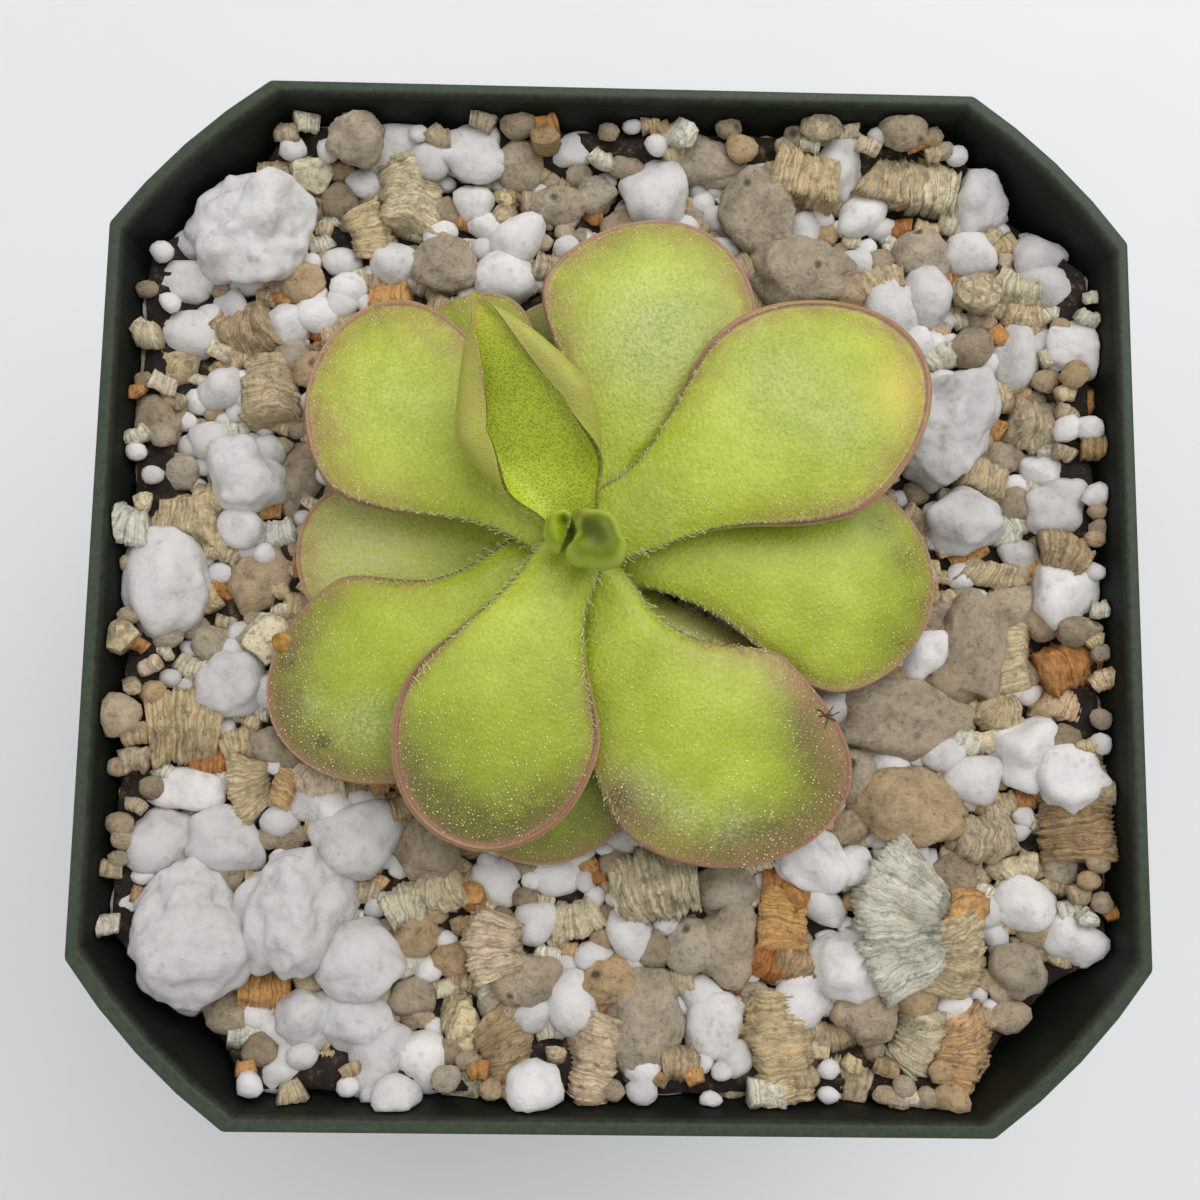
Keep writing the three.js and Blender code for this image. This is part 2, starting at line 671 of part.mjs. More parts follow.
function mixBody(undersides) {
  const large = largeGrains(undersides);
  const grains = large.concat(fillGrains(large, undersides));
  const fines = new THREE.BoxGeometry(POT.width, POT.width, MIX.level);
  fines.translate(0, 0, MIX.level / 2);
  let body = toSolid(fines);
  grains.forEach((grain, index) => {
    body = body.add(grainSolid(grain, index));
  });
  body = body.intersect(potRoom());
  const depth = MIX.level - MIX.holeFloor + 4;
  const hole = new THREE.CylinderGeometry(MIX.holeRadius, MIX.holeRadius, depth, 16);
  hole.rotateX(Math.PI / 2);
  hole.translate(CROWN.x, CROWN.y, MIX.holeFloor + depth / 2);
  return toGeometry(withoutPockets(body.subtract(toSolid(hole))));
}

// ---- assembly ----

function butterwort() {
  const group = new THREE.Group();
  const undersides = [YOUNG, ...GROWN].flatMap((leaf) => {
    return bladeFaces(leaf).flat().map(({ lower }) => lower);
  });
  group.add(toMesh("pot", potBody(), COLOURS.pot, 0.55));
  group.add(toMesh("growing_mix", mixBody(undersides), COLOURS.mix, 0.95));
  group.add(toMesh("stem", stemBody(), COLOURS.stem, 0.8));
  group.add(toMesh(YOUNG.name, bladeSolid(YOUNG), COLOURS.young, 0.45));
  for (const leaf of GROWN) {
    group.add(toMesh(leaf.name, bladeSolid(leaf), COLOURS.leaf, 0.45));
  }
  for (const bud of BUDS) {
    group.add(toMesh(bud.name, budSolid(bud), COLOURS.bud, 0.45));
  }
  return group;
}

export default butterwort();
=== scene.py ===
"""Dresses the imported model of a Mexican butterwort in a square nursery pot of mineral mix."""

import math
from functools import partial

import bmesh
import bpy
from bpy.props import FloatProperty, FloatVectorProperty, IntProperty, PointerProperty
from bpy.types import Operator, Panel, PropertyGroup
from mathutils import Euler, Matrix, Quaternion, Vector, noise
from mathutils.bvhtree import BVHTree


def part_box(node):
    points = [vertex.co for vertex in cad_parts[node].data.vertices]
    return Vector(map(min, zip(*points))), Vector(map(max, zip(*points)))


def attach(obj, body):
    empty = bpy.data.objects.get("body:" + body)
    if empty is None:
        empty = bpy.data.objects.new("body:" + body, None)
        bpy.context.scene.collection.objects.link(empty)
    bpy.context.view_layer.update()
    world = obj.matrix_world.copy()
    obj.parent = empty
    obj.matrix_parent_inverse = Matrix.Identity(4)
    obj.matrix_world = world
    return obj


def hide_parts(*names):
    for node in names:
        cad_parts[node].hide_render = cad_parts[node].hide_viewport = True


bl_info = {
    "name": "Potted butterwort",
    "version": (1, 0, 0),
    "blender": (4, 5, 0),
    "location": "3D View > Sidebar > Butterwort",
    "description": "Leaves, glands, growing mix, pot and studio for a potted butterwort",
    "category": "Object",
}

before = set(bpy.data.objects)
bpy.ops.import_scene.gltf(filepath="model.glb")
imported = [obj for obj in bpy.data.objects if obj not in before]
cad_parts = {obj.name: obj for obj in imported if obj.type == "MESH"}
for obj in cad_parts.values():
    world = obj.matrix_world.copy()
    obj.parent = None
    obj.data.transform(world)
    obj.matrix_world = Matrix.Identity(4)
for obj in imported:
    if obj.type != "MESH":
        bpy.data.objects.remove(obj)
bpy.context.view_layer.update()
MM = 0.001

# ---- sizes, in millimetres and degrees ----

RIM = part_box("pot")[1] / MM  # the rim's corner: half width, half width, height
POT_BAND = RIM.z - 10  # lower edge of the stiff band under the rim
STEP_LOW, STEP_HIGH = POT_BAND + 0.4, POT_BAND + 1.6  # where the inside widens into the band
POT_FLOOR = 3.0  # height of the floor's upper face
WALL = 1.0  # thickness
BASE_HALF = 27.0  # half width at the foot
BAND_HALF = RIM.x - 1.1  # half width at the lower edge of the band
WALL_TOP_HALF = RIM.x - 2.5  # half width of the wall under the band
CREASE = 0.7  # where a cut corner starts, as a share of the half width

CROWN = Vector((-2.4, 3.35, 0))  # where the rosette's axis stands
LOWEST_LEAF = 62.1  # height where the lowest leaf leaves the stem
LEAF_STEP = 0.6  # stem height from one leaf to the next
LAST_ORDER = 13  # order of the lowest leaf
BLADE_BASE, BLADE_MIDDLE, BLADE_MARGIN = 0.75, 1.1, 0.6  # thicknesses
# How much of its thickness a blade loses at each face where it thins out to its margin.
EDGE_THINNING = 0.23
EDGE_REACH = 1.4  # how far in from its margin a blade thins
MARGIN_BULGE = 0.24  # how far the rounded margin stands out, as a share of its thickness
RIPPLE, RIPPLES = 0.16, 0.22  # height of the waves in a blade, and how many to a millimetre
TUCK = 1.7  # how far a blade's base reaches into the stem
DROP, HAIR, HAIR_DROP = 0.052, 0.018, 0.036  # radii of a drop, of a hair and of the drop on it

MIX_LEVEL = 60.8  # of the fines between the grains
SUNK, PROUD = 0.25, 0.64  # share of a grain's size below and above the fines
LEAST_PROUD = 0.6  # a grain that would stand less above the fines isn't made
LEAF_CLEARANCE = 0.4  # from a grain up to the leaf over it
LEAF_SAMPLING = 1.0  # added to the reach, as the undersides are known only at points
MIX_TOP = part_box("growing_mix")[1].z / MM  # of the highest grain
MIX_HALF = BAND_HALF - WALL + 0.4  # half width of the square that the grains are dropped in
PLUMP = 1.1  # how much wider a grain is than its solid, so that neighbours touch
GRAIN_GAP, FINES_GAP = 0.12, 0.35  # from a grain and from the fines to the pot's wall
HEAP = 2.4  # how much higher the smallest grains lie beside the wall
HOLE = 2.4  # radius of the hole that the root neck stands in
NOISE_SEED = 1  # start of the noise that crumples the mica, which would otherwise be the clock's

# Shape of a leaf, as in the imported model: order counts from the top, turn is its compass
# direction, seat how far from the axis it starts, rise and droop the slope of its midrib, bend
# its sideways curve, roll its twist, cup and curl the slope of the blade out to the margin,
# start where across the blade the curl sets in, early and late the curl's share at the neck and
# at the end, skew and lean how much fuller its left side is, ease how late it widens, and point
# how narrow its end is. across, rows and tip_rows are where the imported model has its points.
# Finish: lip is the width of the coloured margin and blush that of the tint inside it, flush is
# how strong both are, seam the width of the dark line where leaf bases rub, darkened also as painted shade
# between them, age how worn the leaf is, in places also painted shade, and olive how strongly painted shade
# darkens its drooping end. Each dab is a tint, its place, its radius and its strength.
LEAF = dict(
    neck=3.8, widest=0.62, rise=9, droop=22, bend=0, cup=-14, curl=50, start=0.88, early=0.25, late=1,
    roll=0, skew=0, lean=0, ease=1, point=0, seat=2.3, across=(0, 0.4, 0.75, 0.9, 1), rows=7, tip_rows=4,
    lip=0.17, blush=1.6, flush=0.6, age=0.2, olive=0.3, seam=0.34, dabs=())
LEAVES = {
    "leaf_01": dict(
        order=1, turn=253.2, length=21.4, width=14.4, neck=5.1, widest=0.59, rise=10, droop=25, bend=22,
        curl=75, start=0.86, skew=-0.02, ease=1.34, lip=0.16, blush=1.1, flush=1, olive=1.3, age=0.4),
    "leaf_02": dict(
        order=2, turn=38, length=26, width=16.5, neck=5.6, widest=0.58, rise=12, droop=25, bend=38.5,
        curl=70, skew=0.06, lean=-0.4, ease=1.54, lip=0.16, blush=2.0, flush=1, olive=0.0, age=0,
        dabs=[("glow", 19.9, 13.7, 3, 1), ("frost", 11, 14, 3.5, 0.3), ("frost", 15.5, 11, 2.5, 0.25),
              # The last dab darkens the neck as painted shade.
              ("age", 2.1, 5.6, 3.2, 0.6)]),
    "leaf_03": dict(
        order=3, turn=130.3, length=21.8, width=14.7, neck=4.5, widest=0.57, rise=10, droop=25, bend=-40,
        curl=40, skew=0.25, lean=0.22, ease=1.34, point=0.07, lip=0.2, blush=2.6, flush=0.9, olive=0.05,
        age=0.05, dabs=[("frost", -16.4, 12.9, 4, 0.25), ("blush", -20.5, 10.6, 2, 0.35)]),
    "leaf_04": dict(
        order=4, turn=-42.2, length=25, width=16.7, neck=3.9, widest=0.59, rise=10, droop=25, bend=40,
        curl=15, skew=-0.25, lean=0.5, ease=1.76, point=0.13, lip=0.12, blush=2.0, flush=0.9, olive=1.2,
        age=0.25,
        dabs=[("frost", 1.5, -14.4, 1.6, 0.45), ("frost", 4.5, -15.9, 1.6, 0.4),
              ("frost", 8, -16.6, 1.6, 0.35), ("soil", 0.2, -15, 1.6, 0.8), ("olive", 0.8, -15.8, 3, 1),
              ("olive", 14.9, -10, 2.2, 0.8), ("blush", 15.8, -9.5, 2.2, 0.3), ("blush", 13, -5.8, 2, 0.6),
              ("olive", 8.9, -17.5, 2, 0.5)]),
    "leaf_05": dict(
        order=5, turn=75, length=23, width=16.2, neck=2.5, widest=0.68, rise=10, bend=8, curl=40,
        skew=0.07, lean=0.1, ease=1.14, point=0.14, blush=2.6, flush=1, olive=0.1, age=0.05,
        dabs=[("frost", 2, 18.4, 5, 0.5)]),
    "leaf_06": dict(
        order=6, turn=209.4, length=24.2, width=15.5, neck=7, widest=0.63, rise=8, bend=-19, curl=35,
        skew=0.06, lean=-0.5, ease=2.2, point=0.09, lip=0.12, blush=1.8, flush=0.7, olive=1.05,
        dabs=[("soil", -20.6, -11.3, 0.5, 1.2), ("soil", -23, -5.9, 0.35, 1), ("soil", -23.9, -5.8, 0.3, 0.8),
              ("frost", -17.8, -9.9, 2, 0.4), ("frost", -21.4, -8.7, 1, 0.3)]),
    "leaf_07": dict(
        order=7, turn=-5.8, length=24, width=16.1, neck=5, widest=0.7, rise=8, droop=20, bend=9, curl=25,
        skew=-0.04, lean=-0.05, ease=1.84, point=0.12, lip=0.12, blush=1.2, flush=0.8, olive=0.35,
        age=0.15,
        dabs=[("soil", 18.9, 4.9, 1.2, 0.6), ("soil", 20.9, 2.4, 1.4, 0.6), ("soil", 21.9, -1, 1.2, 0.5),
              ("soil", 20.6, -3.4, 1.2, 0.5)]),
    "leaf_08": dict(
        order=8, turn=119.1, length=19.2, width=13.2, widest=0.72, rise=6, droop=16, bend=-12.5, curl=20,
        skew=0.24, point=-0.12, blush=2.2, olive=0.25, age=0.5),
    "leaf_09": dict(
        order=9, turn=260, length=21.7, width=15, widest=0.6, rise=5, droop=16, curl=20, skew=0.05,
        olive=0.7, age=0.8),
    "leaf_11": dict(
        order=11, turn=182.3, length=19.4, width=13.4, rise=7, droop=14, bend=-1.5, curl=20, skew=0.09,
        blush=2.6, flush=0.9, olive=0.0, age=0.0,
        # Painted light and painted sheen brighten this leaf where it lies under another.
        dabs=[("glow", -19, 2.2, 6, 0.6), ("frost", -19.5, 2.2, 6, 0.7)]),
    "leaf_12": dict(
        order=12, turn=-45.4, length=18.4, width=10.9, neck=2.9, widest=0.65, rise=5, droop=8, bend=12,
        curl=15, skew=-0.16, flush=0.3, olive=0.0, age=0.0,
        # Painted light and painted sheen brighten this leaf where it lies in the shade of others.
        dabs=[("glow", 6.5, -2.5, 4, 1), ("frost", 6.5, -2.5, 4, 0.6)]),
    "leaf_13": dict(
        order=13, turn=97, length=17.2, width=11.5, rise=6, droop=8, curl=15, age=0.8),
}
YOUNG_LEAF = dict(
    order=0, turn=117.7, length=17.2, width=14.1, neck=5.4, widest=0.41, rise=27, droop=4, bend=9, cup=10,
    curl=172, start=0.4, early=0.32, late=0.4, roll=-30, skew=0.16, ease=0.63, point=0.68, seat=2.6,
    across=(0, 0.3, 0.5, 0.62, 0.74, 0.87, 1), lip=0.07, blush=0.5, flush=0.35, age=0.1, olive=0,
    seam=0.2,
    # The first dab is painted light; the other two darken the base at the crown as painted shade.
    dabs=[("glow", -9.6, 16.8, 2, 0.5), ("age", -2.3, 3, 2.6, 0.7), ("olive", -2.3, 3, 2.2, 0.4)])
# Two buds on the stem's top, each a new leaf folded over itself. outline: its widest part seen
# from above, as x, y from the crown's axis. peak: where its top lies. hollows: where it rolls
# in, as x, y, radius, depth. tints: which colours show, as word, x, y, radius, strength; the darkest is
# painted shade in the hollows.
BUDS = {
    "bud_large": dict(
        top=74.5, peak=(0.8, -0.9),
        outline=[(0.62, 0.95), (-0.45, 0.85), (-0.58, 0.19), (-0.5, -0.54), (-0.72, -1.15), (-1.15, -1.55),
                 (-1.2, -2.05), (-0.64, -2.68), (0.35, -2.79), (1.34, -2.97), (2.32, -2.63), (2.7, -1.69),
                 (2.29, -0.49), (1.41, 0.83)],
        hollows=[(0.05, -0.35, 0.7, 0.55), (0.8, -1.2, 0.7, 0.35), (-0.5, -2.0, 0.5, -0.15)],
        tints=[("deep", 0.2, -0.2, 0.85, 0.9), ("deep", 0.9, -1.1, 0.9, 0.8), ("rust", -0.5, 0.7, 0.45, 0.8),
               ("fresh", 0.4, -2.5, 1.1, 0.5)]),
    "bud_small": dict(
        top=73.4, peak=(-1.9, -0.3),
        outline=[(-1.31, 1.03), (-1.98, 0.95), (-2.5, 0.61), (-2.69, -0.07), (-2.47, -1.22), (-2.25, -1.72),
                 (-1.65, -1.85), (-1.55, -1.3), (-1.35, -0.85), (-1.25, -0.39), (-1.1, 0.02), (-1.0, 0.3),
                 (-0.98, 0.75)],
        hollows=[(-1.35, 0.25, 0.5, 1.0), (-1.45, -0.6, 0.35, 0.3)],
        tints=[("fresh", -1.9, -0.3, 2.2, 1.0), ("deep", -1.3, 0.25, 0.45, 1.0)]),
}
BUD_BASE = 70.9  # height where a bud's body starts
BUD_ROOT = 1.1  # how far a bud's narrow foot goes down into the stem's top
BUD_SWELL = 1.05  # how much wider a bud is than its solid, so that the two nearly touch

# The larger grains of the mix, each as x, y, size along X, size along Y, then for some the tone
# from 0 to 1 and for a bent stack of mica how far it fans out. The low tones of the perlite at the lower left
# are painted shade.
LARGE_GRAINS = {
    "perlite": [
        (-28.5, 27.5, 9.5, 8.5), (-34.5, 23.5, 5.5, 3), (-17.5, 35.5, 5.5, 4), (-12, 34.5, 5.5, 5),
        (-3.5, 36, 4.5, 3), (2.5, 31.5, 5, 6), (0.5, 35, 2.5, 2.5), (17, 35.5, 4.5, 5.5),
        (28, 31.5, 4.5, 5.5), (21, 22, 4.5, 5.5), (24, 23.5, 4, 4.5), (33, 27, 4, 3.5),
        (34, 24.5, 5.5, 3.5), (31, 19, 3.5, 5.5), (24.5, 12.5, 8.5, 8), (26.5, 6, 6, 5),
        (34, 7, 5.5, 4.5), (34.5, 0.5, 5.5, 5.5), (23.5, -4.5, 3.5, 4), (31, -11.5, 5.5, 5.5),
        (34.5, -13, 5.5, 5.5), (30.5, -22.5, 4.5, 4), (34, -25, 4.5, 4), (15, -19.5, 5.5, 4.5),
        (18, -20, 3, 3), (17, -27, 5, 5), (14, -29.5, 4.5, 4), (7.5, -32, 4, 5.5), (-2.5, -30, 4, 4.5),
        (1.5, -25, 3.5, 4.5), (-5.5, -24.5, 3, 3), (-34.5, 0, 6.5, 8.5), (-28, 8.5, 5.5, 5.5),
        # Low tones from here on darken the perlite at the lower left as painted shade.
        (-33, 19.5, 5, 3.5), (-30.5, 15.5, 3.5, 3.5), (-33, -19, 5.5, 5, 0),
        (-28.5, -18.5, 5.5, 4.5, 0.1), (-30, -25.5, 8.5, 11, 0.1), (-23, -23.5, 8.5, 8.5, 0.1),
        (-19, -18.5, 6.5, 5.5, 0.2), (-18, -27, 6, 5.5, 0.2), (-18.5, -31.5, 5.5, 4.5),
        (-22, -31.5, 4.5, 4.5), (-16.5, -35.5, 4.5, 5.5), (-13.5, -35.5, 4, 4.5), (-9, 24.5, 4.5, 4),
        (-8, 27.5, 4, 4), (-14, 28, 2.5, 2.5), (-11.5, 30.5, 3, 3), (-31.5, -15, 5.5, 3),
        (-4, -21, 4, 3.5), (-8.5, -21.5, 4, 3.5)],
    "vermiculite": [
        (-16.5, 31, 5, 6.5, 0.5), (-19.5, 28, 4, 4.5, 0.42), (14, 33, 5.5, 5.5, 0.4),
        (22, 33, 8, 4.5, 0.3, 0.6), (24.5, 32, 4, 4, 0.55), (-26.5, 15, 4.5, 5.5, 0.3),
        (-35, 17, 4.5, 3.5, 0.3), (-28.5, 20, 5.5, 4.5, 0.08), (-33, 5, 5.5, 4.5, 0.3),
        (-32, -10.5, 6, 6, 0.38), (-27, -15, 3.5, 5.5, 0.42), (-24, -14.5, 2.5, 4.5, 0.84),
        (3, -21.5, 6.5, 6.5, 0.52), (21, -23.5, 7, 11.5, 0.7, 0.9), (24.5, -26, 5.5, 6.5, 0.45),
        (34.5, -16, 5.5, 8, 0.03), (34, -5, 5, 4.5, 0.95), (34.5, -8, 5.5, 3.5, 0.82),
        (30, -3.5, 3, 8, 0.45), (28.5, 2, 5.5, 2.5, 0.3), (32, 13.5, 4.5, 4.5, 0.15),
        (25.5, -33, 4.5, 6.5, 0.84), (22, -33, 4.5, 6, 0.55), (12.5, -24, 4, 5.5, 0.86),
        (11.5, -27, 3.5, 3.5, 0.98), (-8.5, -26, 5, 5.5, 0.8), (-7.5, -33, 4.5, 6.5, 0.06),
        (-1, -34.5, 5.5, 6.5, 0.8), (12, -33.5, 5.5, 8, 0.4), (-11, -31.5, 3, 5.5, 0.45),
        (-2.5, -24, 4, 3, 0.55), (-12.5, -22, 4, 3.5, 0.5)],
    "clay": [
        (21.5, -9, 10.5, 6, 0.42), (22, -15.5, 8.5, 5.5, 0.78), (27, -3.5, 5.5, 8, 0.4),
        (14, 25.5, 8, 5.5, 0.45), (10.5, 30, 5.5, 7, 0.48), (6.5, 35.5, 6, 4.5, 0.62),
        (-5, 30.5, 4.5, 3, 0.5), (-8, 34, 4, 4.5, 0.45), (-13.5, 25.5, 5.5, 4.5, 0.5),
        (-27.5, 0.5, 5.5, 6.5, 0.74), (-24.5, 8.5, 4, 6.5, 0.4), (2.5, -31.5, 5.5, 8, 0.5),
        (8.5, -25.5, 4, 6.5, 0.45), (-13.5, -19, 4.5, 4.5, 0.35), (18.5, -13.5, 3, 4.5, 0.5),
        (-6.5, -28.5, 5.5, 4, 0.4), (6, -26, 4, 4, 0.6), (30, -27.5, 4, 4, 0.5),
        (18.5, -30.5, 4.5, 4.5, 0.68)],
}
KINDS = ("perlite", "vermiculite", "clay")


def linear(colour):
    """A hex colour, as red, green and blue in linear light."""
    parts = [int(colour[i : i + 2], 16) / 255 for i in (1, 3, 5)]
    return [p / 12.92 if p <= 0.04045 else ((p + 0.055) / 1.055) ** 2.4 for p in parts]


def smooth(x):
    """From 0 to 1 as x does, levelling off at both ends."""
    t = min(max(x, 0.0), 1.0)
    return t * t * (3 - 2 * t)


def fade(distance, radius):
    """1 at a place, and next to nothing at twice the radius."""
    return math.exp(-((distance / radius) ** 2))


def draws_from(seed):
    """Repeatable draws from 0 to 1."""
    state = seed
    while True:
        state = (state * 1664525 + 1013904223) % 4294967296
        yield state / 4294967296


# What is painted on a bud and on a blade. Each tint is laid over the ones before it, and the
# fringe, where hairs crowd the margin, has none.
# Several tints are painted light or painted shade, as noted where their colours are set.
BUD_PAINTS = ("fresh", "deep", "crest", "rust")
PAINTS = ("glow", "age", "olive", "frost", "under", "blush", "lip", "line", "seam", "soil", "fringe")


# ---- what a user may change ----


def colour_setting(name, description, colour):
    """A colour that a user may change, with its default in sRGB hex."""
    return FloatVectorProperty(
        name=name, description=description, subtype="COLOR", size=3, min=0, max=1, default=linear(colour))


class PotSettings(PropertyGroup):
    plastic: colour_setting("Plastic", "Colour of the moulded pot", "#21301F")
    edge: FloatProperty(
        name="Edge rounding", description="Radius of the moulded edges", unit="LENGTH",
        default=0.22 * MM, min=0.05 * MM, max=0.4 * MM)


class MixSettings(PropertyGroup):
    perlite: colour_setting("Perlite", "Colour of the expanded perlite", "#E4E0DD")
    clay: colour_setting("Clay", "Colour of the fired clay pebbles", "#C6B092")
    vermiculite: colour_setting("Vermiculite", "Main colour of the vermiculite", "#CFBA90")
    fines: colour_setting("Fines", "Colour of the dust between the grains", "#2C2118")
    small_tries: IntProperty(
        name="Small grains", description="Places tried for the smallest grains", default=15000, min=0)
    seed: IntProperty(name="Seed", description="Start of the draws for the smallest grains", default=77)


class LeafSettings(PropertyGroup):
    leaf: colour_setting("Leaf", "Main colour of the blades", "#ABB82C")
    light: colour_setting("Light patches", "Colour of the palest patches", "#BCC843")
    shade: colour_setting("Deep patches", "Colour of the deepest green", "#96A61C")
    blush: colour_setting("Margin", "Colour of the tinted margins", "#A2755F")
    bud: colour_setting("Buds", "Colour of the two buds", "#74821C")
    gland_length: FloatProperty(
        name="Hair length", description="Length of a gland hair near the crown", unit="LENGTH",
        default=0.5 * MM, min=0.1 * MM, max=1 * MM)
    gland_density: FloatProperty(
        name="Glands", description="Glands on each square millimetre of a blade",
        default=15, min=0, max=16)


class StudioSettings(PropertyGroup):
    table: colour_setting("Table", "Colour of the table top", "#E6E6E7")
    power: FloatProperty(
        name="Light", description="Power of the large soft light", subtype="POWER", default=2.0, min=0)
    camera_place: FloatVectorProperty(
        name="Camera", description="Where the camera is", subtype="TRANSLATION",
        size=3, default=(-2.614 * MM, -10.371 * MM, 151.66 * MM))
    camera_turn: FloatVectorProperty(
        name="Camera turn", description="Which way the camera looks", subtype="EULER",
        size=3, default=[math.radians(a) for a in (6.236, -1.008, 0.823)])


# ---- materials ----


def rgba(colour):
    """A colour with its alpha, from sRGB hex or from its parts in linear light."""
    return (*(linear(colour) if isinstance(colour, str) else colour), 1)


def live_output(source):
    """A socket as it is, or the first output in use of a node."""
    if isinstance(source, bpy.types.NodeSocket):
        return source
    return next(socket for socket in source.outputs if socket.enabled)


def add_node(tree, kind, settings=None, links=None):
    """Adds a node, then sets its options and sockets and links its inputs."""
    node = tree.nodes.new("ShaderNode" + kind)
    for key, value in (settings or {}).items():
        if key == "stops":
            while len(node.color_ramp.elements) < len(value):
                node.color_ramp.elements.new(0.5)
            for element, (place, colour) in zip(node.color_ramp.elements, value):
                element.position = place
                element.color = rgba(colour)
        elif key == "range":
            for name, number in zip(("From Min", "From Max", "To Min", "To Max"), value):
                node.inputs[name].default_value = number
        elif isinstance(key, int) or key in node.inputs:
            node.inputs[key].default_value = value
        else:
            setattr(node, key, value)
    for key, source in (links or {}).items():
        tree.links.new(live_output(source), node.inputs[key])
    return node


def across(size):
    """Texture scale for a pattern whose cells are this many millimetres wide."""
    return 1 / (size * MM)


def begin_material(name):
    """A new material, a function that adds a node to it, its shader and its coordinates."""
    material = bpy.data.materials.new(name)
    material.use_nodes = True
    add = partial(add_node, material.node_tree)
    return material, add, material.node_tree.nodes["Principled BSDF"], add("TexCoord").outputs["Object"]


def finish_shader(shader, links, **values):
    """Links sockets of the shader and sets others to constants, by name with _ for a space."""
    for name, source in links.items():
        shader.id_data.links.new(live_output(source), shader.inputs[name])
    for name, value in values.items():
        shader.inputs[name.replace("_", " ")].default_value = value


def two_tone(name, size, stops, detail=2, **sockets):
    """A material whose colour drifts between two tones, in patches of a size in millimetres."""
    material, add, shader, place = begin_material(name)
    cloud = add("TexNoise", {"Scale": across(size), "Detail": detail}, {"Vector": place})
    body = add("ValToRGB", {"stops": stops}, {"Fac": cloud})
    finish_shader(shader, {"Base Color": body}, **sockets)
    return material


def pot_plastic(settings):
    """Injection-moulded polypropylene: dark, satin and faintly pebbled, darkened almost to black on
    its inside as painted shade, and dulled by dry dust along the top of the rim, whose paler film also stands
    in for a painted sheen."""
    material, add, shader, place = begin_material("moulded_polypropylene")
    base = Vector(settings.plastic)
    cloud = add("TexNoise", {"Scale": across(9), "Detail": 3}, {"Vector": place})
    body = add("ValToRGB", {"stops": [(0.3, base * 0.85), (0.7, base * 1.15)]}, {"Fac": cloud})
    inside = add("Attribute", {"attribute_name": "inside"}).outputs["Fac"]
    # The inner wall is darkened almost to black as painted shade.
    painted_inner_shade = add("Mix", {"data_type": "RGBA", 7: rgba("#0C110A")}, {0: inside, 6: body})
    height = add("SeparateXYZ", links={"Vector": place}).outputs["Z"]
    ledge = add("MapRange", {"range": ((RIM.z - 0.8) * MM, (RIM.z - 0.1) * MM)}, {"Value": height})
    dust = add("TexNoise", {"Scale": across(0.55), "Detail": 5, "Roughness": 0.75}, {"Vector": place})
    film = add("MapRange", {"range": (0.35, 0.7, 0.06, 0.2)}, {"Value": dust})
    # Dust along the top of the rim, which also stands in for a painted sheen on the lip.
    dust_and_sheen = add("Math", {"operation": "MULTIPLY"}, {0: film, 1: ledge})
    mixed = add("Mix", {"data_type": "RGBA", 7: rgba("#7C8A6E")}, {0: dust_and_sheen, 6: painted_inner_shade})
    grain = add("TexNoise", {"Scale": across(0.35), "Detail": 2}, {"Vector": place})
    gloss = add("MapRange", {"range": (0, 1, 0.4, 0.66)}, {"Value": dust})
    bump = add("Bump", {"Strength": 0.3, "Distance": 0.03 * MM}, {"Height": grain})
    finish_shader(
        shader, {"Base Color": mixed, "Roughness": gloss, "Normal": bump}, IOR=1.49,
        Specular_IOR_Level=0.35)
    return material


def expanded_perlite(settings):
    """Volcanic glass blown to a white foam: matt and granular, with burst bubbles whose pits are
    darkened in patches as painted shade, and a tone that differs from grain to grain, darkest, as painted
    shade, on the grains at the lower left."""
    material, add, shader, place = begin_material("expanded_perlite")
    base = Vector(settings.perlite)
    tone = add("Attribute", {"attribute_name": "tone"}).outputs["Fac"]
    soft = add("TexNoise", {"Scale": across(1.8), "Detail": 6, "Roughness": 0.62}, {"Vector": place})
    body = add(
        "ValToRGB", {"stops": [(0.26, "#C0B9B5"), (0.42, base * 0.9), (0.56, base)]}, {"Fac": soft})
    # Pits of burst bubbles, darkened in patches as painted shade.
    pits = add("TexVoronoi", {"Scale": across(0.8), "Randomness": 1}, {"Vector": place})
    burst = add("MapRange", {"range": (0.05, 0.4, 0.75, 1)}, {"Value": pits})
    scarce = add("TexNoise", {"Scale": across(2.6)}, {"Vector": place})
    where = add("MapRange", {"range": (0.5, 0.62)}, {"Value": scarce})
    hollow = add("Mix", {"data_type": "FLOAT", 2: 1.0}, {0: where, 3: burst})
    # The tone darkens a grain by up to a quarter; on the perlite at the lower left this is painted shade.
    level = add("MapRange", {"range": (0, 1, 0.74, 1.0)}, {"Value": tone})
    both = add("Math", {"operation": "MULTIPLY"}, {0: hollow, 1: level})
    shaded = add("VectorMath", {"operation": "SCALE"}, {0: body, 3: both})
    foam = add("TexNoise", {"Scale": across(0.42), "Detail": 5, "Roughness": 0.7}, {"Vector": place})
    height = add("Math", {"operation": "MULTIPLY"}, {0: foam, 1: hollow})
    bump = add("Bump", {"Strength": 0.7, "Distance": 0.18 * MM}, {"Height": height})
    finish_shader(
        shader, {"Base Color": shaded, "Normal": bump}, Roughness=0.85, IOR=1.5, Subsurface_Weight=0.1,
        Subsurface_Scale=0.5 * MM)
    return material


